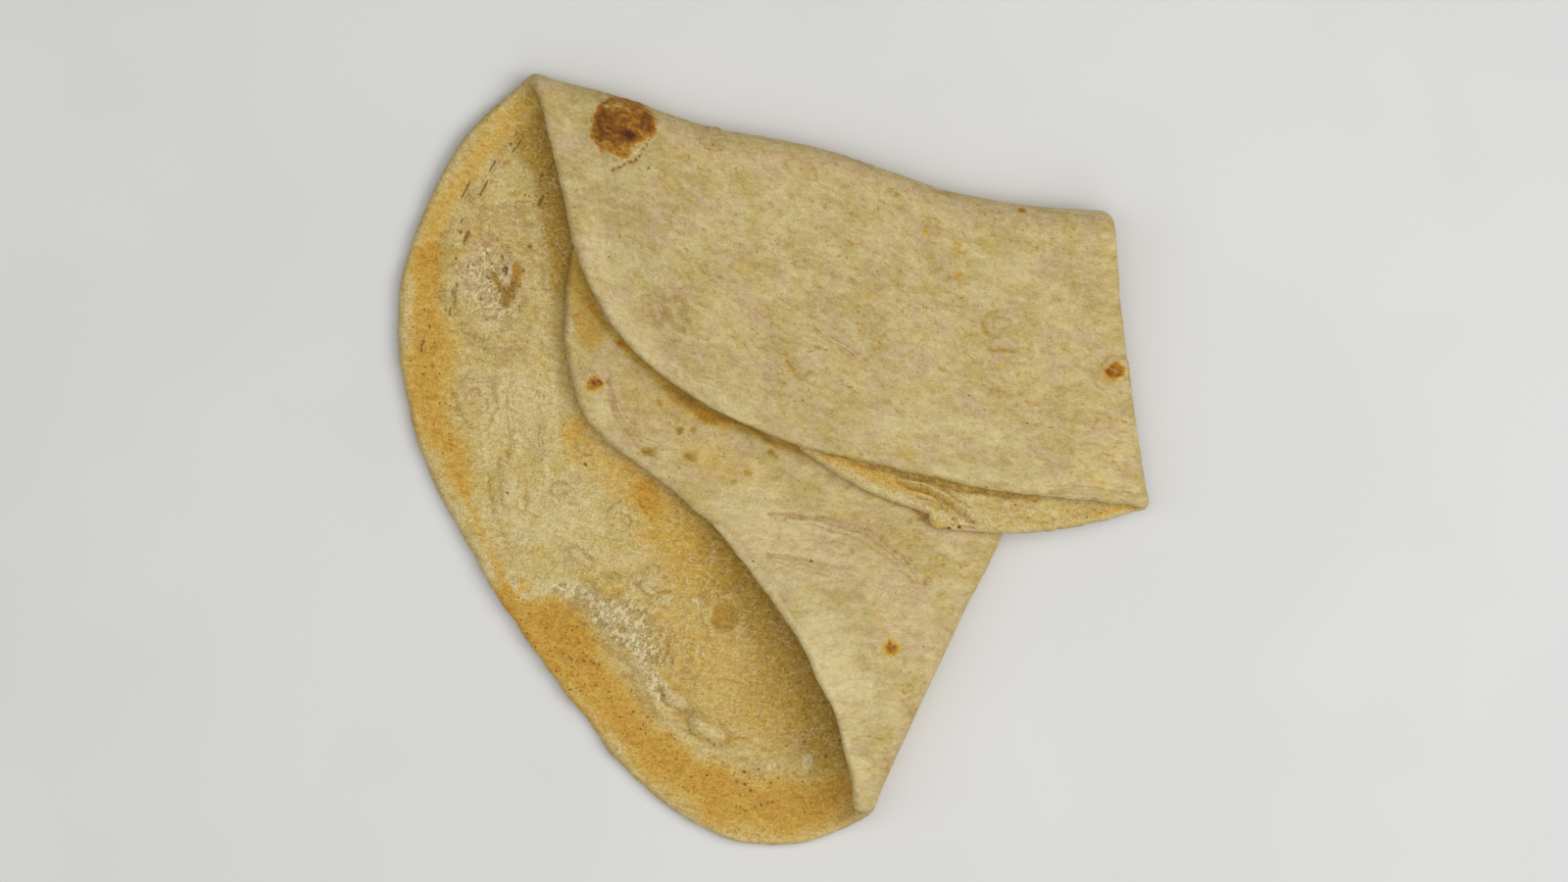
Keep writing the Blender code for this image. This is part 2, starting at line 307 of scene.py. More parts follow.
@dataclass
class FoldedSheet:
    """How the round sheet is folded: the same sizes and bends as the CAD part.

    A point of the flat sheet is a across the side crease and b across the top crease: the floor
    has both below 0, the flap a above 0, the cover b above 0, and the lining both.
    """

    sheet_thickness: float = 4.0 * MM
    rim_thickness: float = 4.8 * MM
    rim_width: float = 12.0 * MM
    rim_edge: float = 0.3
    layer: float = 5.3 * MM
    heel: Spot = (123.2 * MM, 88.3 * MM)
    top_crease_angle: float = 166.5
    side_crease_angle: float = 247.55
    cover_crease_angle: float = 275.9
    top_crease_length: float = 219.0 * MM
    side_crease_length: float = 239.0 * MM
    cover_crease_length: float = 108.0 * MM
    top_crease_bow: float = 5.2 * MM
    side_crease_bow: float = 6.4 * MM
    wave_fade: float = 75.0 * MM
    tight_fold: float = 3.5 * MM
    puffy_fold: float = 11.0 * MM
    cover_fold: float = 4.0 * MM
    puff: tuple[float, float] = (95.0 * MM, 205.0 * MM)
    cover_opening: tuple[float, float] = (15.0 * MM, 90.0 * MM)
    top_puff_height: float = 1.8 * MM
    top_puff: tuple[float, float] = (8.0 * MM, 55.0 * MM)
    vault: tuple[float, float] = (35.0 * MM, 150.0 * MM)
    pinch: tuple[float, float] = (8.0 * MM, 60.0 * MM)
    droop: tuple[float, float] = (4.0 * MM, 72.0 * MM)
    sag_depth: float = 4.0 * MM
    sag: tuple[float, float] = (4.0 * MM, 34.0 * MM)
    end_sag_depth: float = 4.0 * MM
    end_sag_start: float = 182.0 * MM
    end_sag_width: float = 45.0 * MM
    ripple_height: float = 1.2 * MM
    ripple_length: float = 74.0 * MM
    ripple_waves: tuple[tuple[float, float, float], ...] = ((1.0, 0.3, 0.0), (-0.5, 0.8, 1.0))
    frill_width: float = 26.0 * MM
    frill_waves: tuple[tuple[int, float, float], ...] = ((9, 0.3, 0.0), (14, 0.2, 1.0))
    frill_heights: dict[Surface, float] = field(default_factory=lambda: {
        Surface.FLOOR: 2.0 * MM, Surface.FLAP: 0.8 * MM,
        Surface.LINING: 0.0, Surface.COVER: 1.0 * MM})
    rim_knots: tuple[Spot, ...] = (
        (0, 221), (8, 240.8), (20, 256.9), (32, 259.3), (45, 255.2), (58, 253.1), (68, 259.4),
        (77, 264.8), (84, 260.2), (90, 242.4), (92.3, 241.5), (94, 232), (97, 217.6), (100, 206.8),
        (108, 190.1), (115, 182.7), (122, 179), (128, 180.2), (135, 187.3), (144, 200.5),
        (155, 200.5), (170, 190), (182, 175), (200, 171), (214, 173), (221, 173.6), (228, 166.4),
        (236, 155), (247, 142.2), (258, 126.3), (270, 114), (284, 117.8), (297, 130.1),
        (310, 149.5), (320, 177.5), (327, 198.5), (334, 215), (341, 219.4), (350, 216.4))
    top_crease_wave: tuple[Spot, ...] = (
        (0, 0), (0.06, 1.2), (0.15, 2.6), (0.28, 2.4), (0.38, -0.4), (0.50, -2.9), (0.60, -1.8),
        (0.69, -0.2), (0.78, -0.9), (0.87, -1.5), (1, 0))
    side_crease_wave: tuple[Spot, ...] = (
        (0, 0), (0.45, 0), (0.56, -0.2), (0.635, -1.5), (0.70, -1.6), (0.78, -1.5),
        (0.875, -1.0), (0.95, -0.1), (1, 0.5))
    cover_crease_wave: tuple[Spot, ...] = (
        (0, 0), (0.10, 0.6), (0.27, 1.4), (0.5, 0.9), (0.7, 0.1), (0.9, -1.3), (1, -1.5))

    def rim_reach(self, angle: Array) -> Array:
        """Return the distance from the heel to the rim at angles in radians."""
        knots = np.array(self.rim_knots, dtype=float)
        knots = np.vstack([knots[-2:] - (360.0, 0.0), knots, knots[:2] + (360.0, 0.0)])
        return smooth_curve(knots, np.degrees(angle) % 360.0)

    def side_fold_radius(self, b: Array) -> Array:
        """Return the radius of the side crease's fold."""
        return (self.tight_fold + (self.puffy_fold - self.tight_fold) * ease(-b, *self.puff)
                + (self.cover_fold - self.tight_fold) * ease(b, *self.cover_opening))

    def gap(self, across: Array, b: Array, closing: tuple[float, float]) -> Array:
        """Return how far apart the middles of the side fold's two layers are, where it closes."""
        fold_height = 2.0 * self.side_fold_radius(b)
        return self.layer + (fold_height - self.layer) * (1.0 - ease(across, *closing))

    def lining_height(self, across: Array, down: Array) -> Array:
        """Return how high the lining's middle is above the floor's."""
        puff = self.top_puff_height * (1.0 - ease(down, *self.top_puff))
        on_flap = self.gap(np.maximum(across, 0.0), -down, self.vault) + self.layer + puff
        return on_flap * (1.0 - ease(-across, *self.droop))

    def cover_sag(self, across: Array, down: Array) -> Array:
        """Return how far the cover comes down where no lining holds it up."""
        past_lining = np.hypot(across, down) - self.rim_reach(math.pi + np.arctan2(down, across))
        at_end = (ease(across, self.end_sag_start, self.top_crease_length)
                  * (1.0 - ease(down, 0.0, self.end_sag_width)))
        return self.sag_depth * ease(past_lining, *self.sag) + self.end_sag_depth * at_end

    def top_bow(self, across: Array, down: Array) -> Array:
        """Return how far the top crease moves a point inwards of where straight creases put it."""
        share = np.clip(across / self.top_crease_length, 0.0, 1.0)
        return (self.top_crease_bow * np.sin(math.pi * share)
                + self.wave(self.top_crease_wave, share, down))

    def side_bow(self, down: Array) -> Array:
        """Return how far the side crease lies outwards of the straight line between its ends."""
        share = np.clip(down / self.side_crease_length, 0.0, 1.0)
        return self.side_crease_bow * np.sin(math.pi * share)

    def wave(self, knots: tuple[Spot, ...], share: Array, away: Array) -> Array:
        """Return a crease's waver at a share of its length, which fades away from the crease."""
        return smooth_curve(knots, np.clip(share, 0.0, 1.0)) * (1.0 - ease(away, 0.0, self.wave_fade))

    def lower_distances(self, plan: Array) -> tuple[Array, Array]:
        """Return a plan point's distances from the side crease and from the top crease."""
        along_top, down_side = direction(self.top_crease_angle), direction(self.side_crease_angle)
        to_creases = np.linalg.inv(np.column_stack([along_top, down_side]))
        across, down = ((plan - self.heel) @ to_creases.T).T
        return across + self.side_bow(down), down

    def ripple(self, plan: Array) -> Array:
        """Return the gentle unevenness of everything above the floor."""
        x, y = plan.T * (2.0 * math.pi / self.ripple_length)
        waves = [np.sin(along_x * x + along_y * y + phase)
                 for along_x, along_y, phase in self.ripple_waves]
        return self.ripple_height * (0.5 + 0.5 * sum(waves) / len(waves))

    def from_rim(self, a: Array, b: Array) -> Array:
        """Return how far a point of the flat sheet is inside the rim."""
        return np.maximum(self.rim_reach(np.arctan2(-b, -a)) - np.hypot(a, b), 0.0)

    def body_share(self, inside: Array) -> Array:
        """Return the thickness, before the edge is rounded, as a share of the rim bead's."""
        sheet_share = self.sheet_thickness / self.rim_thickness
        return 1.0 + (sheet_share - 1.0) * ease(inside, self.rim_thickness / 2.0, self.rim_width)

    def thickness_share(self, a: Array, b: Array) -> Array:
        """Return the thickness with its rounded edge, as a share of the rim bead's."""
        inside = self.from_rim(a, b)
        edge = 1.0 - np.minimum(inside / (self.rim_thickness / 2.0), 1.0)
        return np.maximum(np.sqrt(1.0 - edge ** 2), self.rim_edge) * self.body_share(inside)

    def frill(self, a: Array, b: Array, flap_share: Array, upper_share: Array) -> Array:
        """Return how far the rim lifts off what is under it."""
        angle = np.arctan2(-b, -a)
        rise = self.frill_heights
        lower = rise[Surface.FLOOR] * (1.0 - flap_share) + rise[Surface.FLAP] * flap_share
        upper = rise[Surface.COVER] * (1.0 - flap_share) + rise[Surface.LINING] * flap_share
        height = lower * (1.0 - upper_share) + upper * upper_share
        waves = sum(share * np.sin(count * angle + phase)
                    for count, share, phase in self.frill_waves)
        return height * (0.5 + waves) * (1.0 - ease(self.from_rim(a, b), 0.0, self.frill_width))

    def fold(self, a: Array, b: Array) -> Array:
        """Bend points of the flat sheet into the folded bread.

        Args:
            a: Distances across the side crease.
            b: Distances across the top crease.

        Returns:
            The points of the sheet's middle layer, as x, y, z.
        """
        quarter_turn = math.pi / 2.0

        # First fold, across the side crease
        radius = self.side_fold_radius(b)
        turn = np.clip(a / radius, -quarter_turn, quarter_turn)
        flap_share = 0.5 + 0.5 * np.sin(turn)
        across = (radius * (1.0 - np.cos(turn))
                  + np.maximum(0.0, np.abs(a) - quarter_turn * radius))
        above_floor = self.gap(across, b, self.vault)

        # Second fold, across the top crease, round the outside of the first
        heel_line = np.zeros_like(across)
        full_height = (self.lining_height(across, heel_line)
                       + self.gap(across, heel_line, self.pinch)
                       - self.cover_sag(across, heel_line))
        radius = full_height / 2.0
        turn = np.clip(b / radius, -quarter_turn, quarter_turn)
        upper_share = 0.5 + 0.5 * np.sin(turn)
        inset = flap_share * self.gap(across, heel_line, self.vault)
        down = (radius - (radius - inset) * np.cos(turn)
                + np.maximum(0.0, np.abs(b) - quarter_turn * radius))

        # Place in plan
        lower_share = 1.0 - upper_share
        along_top = direction(self.top_crease_angle)
        way_down = (lower_share[:, None] * direction(self.side_crease_angle)
                    + upper_share[:, None] * direction(self.cover_crease_angle))
        side_wave = self.wave(self.side_crease_wave, down / self.side_crease_length, across)
        cover_wave = self.wave(self.cover_crease_wave, down / self.cover_crease_length, across)
        inwards = upper_share * cover_wave - lower_share * (self.side_bow(down) + side_wave)
        plan = (np.array(self.heel) + across[:, None] * along_top + down[:, None] * way_down
                + self.top_bow(across, down)[:, None] * direction(self.top_crease_angle + 90.0)
                + inwards[:, None] * along_top)

        # Height of the layer's middle above the floor's
        gap = self.gap(across, b, self.pinch)
        cover = (self.lining_height(*self.lower_distances(plan)) + gap
                 - self.cover_sag(across, down))
        height = lower_share * flap_share * above_floor + upper_share * (cover - flap_share * gap)
        height = height + self.ripple(plan) * np.clip(height / self.layer, 0.0, 1.0)
        height = height + self.frill(a, b, flap_share, upper_share)
        lift = self.body_share(self.from_rim(a, b)) * self.rim_thickness / 2.0
        return np.column_stack([plan, height + lift])


@dataclass
class Skin:
    """The numbers of the bread's mesh, while its skin is worked."""

    points: Array                  # metres
    normals: Array
    sheet: Array                   # a, b in mm and side: 1 on the inner face, 0 on the outer
    from_rim: Array                # mm

    def on(self, surface: Surface) -> Array:
        """Return which vertices are on a surface."""
        a, b, side = self.sheet.T
        inner = side > 0.5
        return {
            Surface.FLOOR: inner & (a <= 0.0) & (b <= 0.0),
            Surface.FLAP: ~inner & (a >= -SEAM_OVERLAP) & (b <= SEAM_OVERLAP),
            Surface.LINING: inner & (a >= 0.0) & (b >= 0.0),
            Surface.COVER: ~inner & (a <= SEAM_OVERLAP) & (b >= -SEAM_OVERLAP),
        }[surface]


@dataclass
class Bread:
    """The folded bread as one closed mesh."""

    shape: FoldedSheet = field(default_factory=FoldedSheet)
    block_cells: int = 240         # cells along each side of the square round the heel
    rings: int = 64                # rings from the square out to the rim
    block_reach: float = 0.62      # half the square's width, as a share of the sheet's reach
    block_roundness: float = 0.25
    crease_cell: float = 0.7 / 220.0
    ring_crowding: float = 1.3
    rim_lump_height: float = 0.45 * MM
    rim_lump_bias: float = 0.4     # how far the lumps lie inwards, as a share of their height
    rim_lump_length: float = 8.0   # mm
    rim_lump_width: float = 8.0 * MM
    rim_lump_path: float = 200.0   # mm, radius of the circle on which the rim's lumps are read
    torn_nub: tuple[Spot, ...] = ((0, 0), (237.4, 0), (238.0, 3.6), (240.5, 3.4), (246, 0), (360, 0))
    most_triangles: int = 196_000
    lumps_outside: tuple[Spot, ...] = ((23.0, 0.30), (9.5, 0.20), (4.2, 0.10), (2.4, 0.05))
    lumps_inside: tuple[Spot, ...] = ((19.0, 0.30), (8.5, 0.22), (3.8, 0.14), (2.2, 0.08))
    hidden_lumps: float = 0.25     # share of the lumps' height where layers lie on each other
    relief_strength: float = 1.5
    sky_cell: float = 1.5 * MM     # width of the columns in which the top face is looked for
    covered: tuple[float, float] = (1.5 * MM, 3.5 * MM)      # under the top by so much, it is hidden
    on_table: tuple[float, float] = (0.3 * MM, 1.5 * MM)     # the lowest skin stays flat
    fine_by_crease: float = 14.0   # mm round the creases where steep hidden faces stay fine
    fine_by_rim: float = 5.0       # mm from the rim where every face stays fine
    steep_face: float = 0.7        # upward part of the normal under which a face counts as steep
    bare_edge: tuple[float, float] = (0.3, 2.2)              # mm of rim with the outer face's crust
    bare_edge_lumps: float = 3.0   # mm between the bends of that edge
    least_shown: float = 0.02      # share of open sky that keeps a face fine
    thin_weight: float = 10.0      # how strongly the hidden faces are thinned before the others
    layout_margin: float = 0.01

    def build(self) -> bpy.types.Object:
        """Model the bread from flat sheet to finished skin.

        Returns:
            The bread's object, at the origin, with its place in its mesh.
        """
        bread = self.flat_sheet()
        a, b = self.flat_positions(*self.coordinates(bread)[:, :2].T)
        self.store(bread, "sheet", np.column_stack([a, b, np.zeros_like(a)]) / MM)
        self.place(bread, self.shape.fold(*self.lumpy_rim(a, b)))
        self.thicken(bread, a, b)
        skin = self.skin(bread)
        shown = self.shown_from_above(skin)
        worked = self.worked_height(skin, shown)
        self.store(bread, "worked", np.clip(worked, -MOST_WORKED, MOST_WORKED))
        self.place(bread, self.worked_skin(skin, shown, worked))
        self.thin_hidden_faces(bread, skin, shown)
        self.paint(bread)
        self.settle(bread)
        self.lay_out_for_export(bread)
        bread.data.shade_smooth()
        return bread

    # The flat sheet

    def flat_sheet(self) -> bpy.types.Object:
        """Add a square grid, extrude its border outwards and cut the border into rings."""
        bpy.ops.object.select_all(action="DESELECT")
        bpy.ops.mesh.primitive_grid_add(
            x_subdivisions=self.block_cells, y_subdivisions=self.block_cells, size=2.0)
        bread = bpy.context.object
        bread.name = bread.data.name = "bread"
        bpy.ops.object.mode_set(mode="EDIT")
        bpy.ops.mesh.select_mode(type="EDGE")
        bpy.ops.mesh.select_all(action="DESELECT")
        bpy.ops.mesh.select_non_manifold(extend=False)
        bpy.ops.mesh.extrude_edges_move()
        bpy.ops.transform.resize(value=(2.0, 2.0, 1.0), center_override=(0.0, 0.0, 0.0))
        bpy.ops.mesh.select_all(action="DESELECT")
        bpy.ops.object.mode_set(mode="OBJECT")
        ends = np.empty(len(bread.data.edges) * 2, dtype=int)
        bread.data.edges.foreach_get("vertices", ends)
        outward = np.abs(self.coordinates(bread)).max(axis=1)[ends.reshape(-1, 2)]
        bread.data.edges.foreach_set("select", np.ptp(outward, axis=1) > 0.5)
        bpy.ops.object.mode_set(mode="EDIT")
        bpy.ops.mesh.subdivide(number_cuts=self.rings - 1)
        bpy.ops.object.mode_set(mode="OBJECT")
        return bread

    def spread_from_crease(self, line: Array) -> Array:
        """Move the square's grid lines, from -1 to 1, so that they crowd at the crease at 0."""
        first = self.crease_cell / self.block_reach
        crowding = math.log(1.0 / first) / math.log(self.block_cells / 2.0)
        return np.sign(line) * np.abs(line) ** crowding

    def flat_positions(self, u: Array, v: Array) -> tuple[Array, Array]:
        """Turn mesh coordinates into sheet coordinates.

        Args:
            u: Across the side crease: from -1 to 1 in the square, to -2 and 2 in the rings.
            v: The same across the top crease.

        Returns:
            The sheet coordinates a and b in metres.
        """
        outward = np.maximum(np.abs(u), np.abs(v))
        ring = np.clip(outward - 1.0, 0.0, 1.0)
        in_block = np.maximum(outward, 1.0)
        p, q = self.spread_from_crease(u / in_block), self.spread_from_crease(v / in_block)
        x = self.block_reach * p * np.sqrt(1.0 - self.block_roundness * q * q)
        y = self.block_reach * q * np.sqrt(1.0 - self.block_roundness * p * p)
        to_rim = 1.0 - (1.0 - ring) ** self.ring_crowding
        stretch = (1.0 - to_rim) + to_rim / np.maximum(np.hypot(x, y), 1e-9)
        x, y = x * stretch, y * stretch
        reach = self.shape.rim_reach(np.arctan2(-y, -x))
        return x * reach, y * reach

    def lumpy_rim(self, a: Array, b: Array) -> tuple[Array, Array]:
        """Move the rim in and out a little, so that its outline is as lumpy as torn dough."""
        angle = np.arctan2(-b, -a)
        way = np.column_stack([np.cos(angle), np.sin(angle)]) * self.rim_lump_path
        uneven = (lumps(way, self.rim_lump_length, RIM_SEED)
                  + 0.6 * lumps(way, self.rim_lump_length / 2.4, RIM_SEED + 1) - self.rim_lump_bias)
        near = 1.0 - ease(self.shape.from_rim(a, b), 0.0, self.rim_lump_width)
        out = self.rim_lump_height * uneven + smooth_curve(self.torn_nub, np.degrees(angle) % 360.0)
        stretch = 1.0 + out * near / np.maximum(np.hypot(a, b), 1e-6)
        return a * stretch, b * stretch

    # The solid

    def thicken(self, bread: bpy.types.Object, a: Array, b: Array) -> None:
        """Give the sheet its thickness with a Solidify modifier, and note each face's side."""
        group = bread.vertex_groups.new(name="thickness")
        steps = np.round(self.shape.thickness_share(a, b) * 100.0).astype(int)
        for step in np.unique(steps):
            group.add(np.flatnonzero(steps == step).tolist(), step / 100.0, "REPLACE")
        middle, up = self.coordinates(bread), self.vertex_normals(bread)
        solidify = bread.modifiers.new("sheet thickness", "SOLIDIFY")
        solidify.thickness = self.shape.rim_thickness
        solidify.offset = 0.0
        solidify.use_even_offset = True
        solidify.vertex_group = group.name
        bpy.ops.object.modifier_apply(modifier=solidify.name)
        bread.vertex_groups.clear()
        points = self.coordinates(bread)
        first_is_inner = np.sum((points[:len(middle)] - middle) * up) > 0.0
        side = np.zeros(len(points))
        side[:len(middle)] = float(first_is_inner)
        side[len(middle):] = float(not first_is_inner)
        sheet = self.stored(bread, "sheet", 3)
        sheet[:, 2] = side
        self.store(bread, "sheet", sheet)

    def settle(self, bread: bpy.types.Object) -> None:
        """Lay the bread on the table where the CAD part lies, just inside the CAD part's box."""
        points = self.coordinates(bread)
        low, high = (np.array(corner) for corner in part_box(CAD_NODE))
        points[:, 2] = np.maximum(points[:, 2], 0.0)
        points[:, 2] *= min(1.0, high[2] / points[:, 2].max())
        plan = points[:, :2]
        plan -= (plan.min(axis=0) + plan.max(axis=0)) / 2.0
        plan *= np.minimum(1.0, (high - low)[:2] / np.ptp(plan, axis=0))
        plan += (low + high)[:2] / 2.0
        self.place(bread, points)

    # The skin

    def skin(self, bread: bpy.types.Object) -> Skin:
        """Read the mesh's numbers."""
        sheet = self.stored(bread, "sheet", 3)
        from_rim = self.shape.from_rim(sheet[:, 0] * MM, sheet[:, 1] * MM) / MM
        return Skin(self.coordinates(bread), self.vertex_normals(bread), sheet, from_rim)

    def shown_from_above(self, skin: Skin) -> Array:
        """Return, from 0 to 1, how open to the sky each vertex is, with nothing over it."""
        plan = skin.points[:, :2]
        column = np.floor((plan - plan.min(axis=0)) / self.sky_cell).astype(int)
        top = np.zeros(column.max(axis=0) + 3)
        np.maximum.at(top, tuple(column.T + 1), skin.points[:, 2])
        depth = top[tuple(column.T + 1)] - skin.points[:, 2]
        return 1.0 - ease(depth, *self.covered)

    def worked_height(self, skin: Skin, shown: Array) -> Array:
        """Return how far the reliefs move each vertex out of its face, in mm."""
        plan = wandered(skin.points[:, :2] / MM)
        height = np.zeros(len(plan))
        for surface in Surface:
            picked = np.flatnonzero(skin.on(surface) & (shown > 0.0))
            here = plan[picked]
            for relief in RELIEFS[surface]:
                height[picked] += relief.height(here) * shown[picked]
        return height

    def worked_skin(self, skin: Skin, shown: Array, worked: Array) -> Array:
        """Press lumps, creases, blisters and dents into the skin.

        Args:
            skin: The mesh's numbers before the work.
            shown: How open to the sky each vertex is.
            worked: How high the reliefs are at each vertex, in mm.

        Returns:
            The vertices' new places.
        """
        inner = skin.sheet[:, 2]
        rise = np.zeros(len(inner))
        for layer, ((size, high), (inner_size, inner_high)) in enumerate(
                zip(self.lumps_outside, self.lumps_inside)):
            rise += (1.0 - inner) * high * lumps(skin.sheet[:, :2], size, OUTSIDE_SEED + layer)
            rise += inner * inner_high * lumps(skin.sheet[:, :2], inner_size, INSIDE_SEED + layer)
        rise *= self.hidden_lumps + (1.0 - self.hidden_lumps) * shown
        rise += self.relief_strength * worked
        on_table = 1.0 - ease(skin.points[:, 2], *self.on_table)
        rise *= 1.0 - on_table
        return skin.points + skin.normals * (rise * MM)[:, None]

    def thin_hidden_faces(self, bread: bpy.types.Object, skin: Skin, shown: Array) -> None:
        """Spend the mesh's faces where they show: decimate what lies under other layers."""
        a, b, _ = skin.sheet.T
        by_crease = np.minimum(np.abs(a), np.abs(b)) < self.fine_by_crease
        steep = np.abs(skin.normals[:, 2]) < self.steep_face
        keep = (shown > self.least_shown) | (skin.from_rim < self.fine_by_rim) | (by_crease & steep)
        group = bread.vertex_groups.new(name="hidden")
        group.add(np.flatnonzero(~keep).tolist(), 1.0, "REPLACE")
        group.add(np.flatnonzero(keep).tolist(), 0.0, "REPLACE")
        bread.data.calc_loop_triangles()
        triangles = len(bread.data.loop_triangles)
        log.info("skin before thinning: %d triangles, %.0f%% of vertices kept fine",
                 triangles, 100.0 * keep.mean())
        thin = bread.modifiers.new("thin hidden faces", "DECIMATE")
        thin.ratio = min(1.0, self.most_triangles / triangles)
        thin.vertex_group = group.name
        thin.vertex_group_factor = self.thin_weight
        bpy.ops.object.modifier_apply(modifier=thin.name)
        bread.vertex_groups.clear()

    def paint(self, bread: bpy.types.Object) -> None:
        """Store each vertex's browning, flour, flakes and pits, and its painted light and shade."""
        skin = self.skin(bread)
        plan = wandered(skin.points[:, :2] / MM)
        amounts = {paint: np.zeros(len(plan)) for paint in Paint}
        for surface in Surface:
            picked = np.flatnonzero(skin.on(surface))
            here = plan[picked]
            for paint, laid_on in MARKS[surface].items():
                amount = amounts[paint][picked]
                for mark in laid_on:
                    amount = np.maximum(amount, BUILD_UP * amount + mark.amount(here))
                amounts[paint][picked] = amount
        for paint, amount in amounts.items():
            self.store(bread, paint.value, np.clip(amount, 0.0, MOST_PAINT))
        uneven = 0.5 * lumps(skin.sheet[:, :2], self.bare_edge_lumps, EDGE_SEED)
        edge = ease(skin.from_rim + uneven, *self.bare_edge)
        self.store(bread, "inner", skin.sheet[:, 2] * edge)

    def lay_out_for_export(self, bread: bpy.types.Object) -> None:
        """Give the mesh a flat layout with the inner face on the left and the outer on the right."""
        mesh = bread.data
        sheet = self.stored(bread, "sheet", 3)
        corners = np.empty(len(mesh.loops), dtype=int)
        mesh.loops.foreach_get("vertex_index", corners)
        totals = np.empty(len(mesh.polygons), dtype=int)
        mesh.polygons.foreach_get("loop_total", totals)
        faces = np.repeat(np.arange(len(totals)), totals)
        side = sheet[corners, 2]
        half = (np.bincount(faces, side) / totals > 0.5).astype(float)[faces]
        flat = sheet[corners, :2]
        over_edge = 1.0 + 3.0 * np.abs(side - half) / np.linalg.norm(flat, axis=1).clip(1.0)
        flat = flat * over_edge[:, None]
        low, high = flat.min(axis=0), flat.max(axis=0)
        flat = self.layout_margin + (1.0 - 2.0 * self.layout_margin) * (flat - low) / (high - low)
        flat[:, 0] = 0.5 * flat[:, 0] + 0.5 * (1.0 - half)
        layer = mesh.uv_layers.new(name=BAKE_LAYOUT, do_init=False)
        layer.uv.foreach_set("vector", flat.astype(np.float32).ravel())

    # Reading and writing the mesh

    @staticmethod
    def coordinates(bread: bpy.types.Object) -> Array:
        """Return the vertices' places in metres."""
        points = np.empty(len(bread.data.vertices) * 3)
        bread.data.vertices.foreach_get("co", points)
        return points.reshape(-1, 3)

    @staticmethod
    def vertex_normals(bread: bpy.types.Object) -> Array:
        """Return the vertices' normals."""
        normals = np.empty(len(bread.data.vertices) * 3)
        bread.data.vertex_normals.foreach_get("vector", normals)
        return normals.reshape(-1, 3)

    @staticmethod
    def place(bread: bpy.types.Object, points: Array) -> None:
        """Move the vertices to new places."""
        bread.data.vertices.foreach_set("co", points.ravel())
        bread.data.update()

    @staticmethod
    def store(bread: bpy.types.Object, name: str, values: Array) -> None:
        """Write values to a vertex attribute."""
        vectors = values.ndim == 2
        attribute = bread.data.attributes.get(name) or bread.data.attributes.new(
            name, "FLOAT_VECTOR" if vectors else "FLOAT", "POINT")
        attribute.data.foreach_set("vector" if vectors else "value", values.ravel())

    @staticmethod
    def stored(bread: bpy.types.Object, name: str, width: int) -> Array:
        """Read values of that many numbers each from a vertex attribute."""
        values = np.empty(len(bread.data.vertices) * width)
        bread.data.attributes[name].data.foreach_get("vector" if width > 1 else "value", values)
        return values.reshape(-1, width) if width > 1 else values


def arithmetic(operation: str, swapped: bool = False) -> Callable[..., "Signal"]:
    """Make an operator of Signal from a Math node, with its two values swapped if need be."""
    def method(self: "Signal", other: "Signal | float") -> "Signal":
        """Add the node and return its result."""
        return self.wiring.maths(operation, *((other, self) if swapped else (self, other)))
    return method


class Signal:
    """A value or colour on its way through a material's nodes. Operators on it add Math nodes."""

    def __init__(self, wiring: "Wiring", socket: bpy.types.NodeSocket) -> None:
        """Remember the socket and the wiring that it belongs to."""
        self.wiring = wiring
        self.socket = socket

    __add__ = __radd__ = arithmetic("ADD")
    __sub__ = arithmetic("SUBTRACT")
    __rsub__ = arithmetic("SUBTRACT", swapped=True)
    __mul__ = __rmul__ = arithmetic("MULTIPLY")

    def __abs__(self) -> "Signal":
        """Return the value without its sign."""
        return self.wiring.maths("ABSOLUTE", self)

    def node_output(self, name: str) -> "Signal":
        """Return another output of the same node."""
        return Signal(self.wiring, self.socket.node.outputs[name])

    def above(self, start: float, end: float) -> "Signal":
        """Return 0 up to start, 1 from end on, and a smooth step between them."""
        return self.wiring.node(
            "ShaderNodeMapRange", {"interpolation_type": "SMOOTHSTEP"},
            {"Value": self, "From Min": start, "From Max": end}, "Result")


Feed = Signal | float | Colour


@dataclass(frozen=True)
class Pattern:
    """Soft lumpy noise over a surface, in the coordinate's own unit."""

    size: float
    detail: float = 2.0
    rough: float = 0.5
    warp: float = 0.0
    shift: Colour | None = None    # moved, so that one pattern doesn't repeat another
    stretch: Colour = (1.0, 1.0, 1.0)
    turn: float = 0.0


@dataclass(frozen=True)
class Specks:
    """Small round dots strewn over a surface, in mm."""

    spacing: float                 # between neighbouring places for a dot
    radius: float
    soft: float = 0.4              # width of a dot's soft edge, as a share of its radius
    shift: Colour | None = None


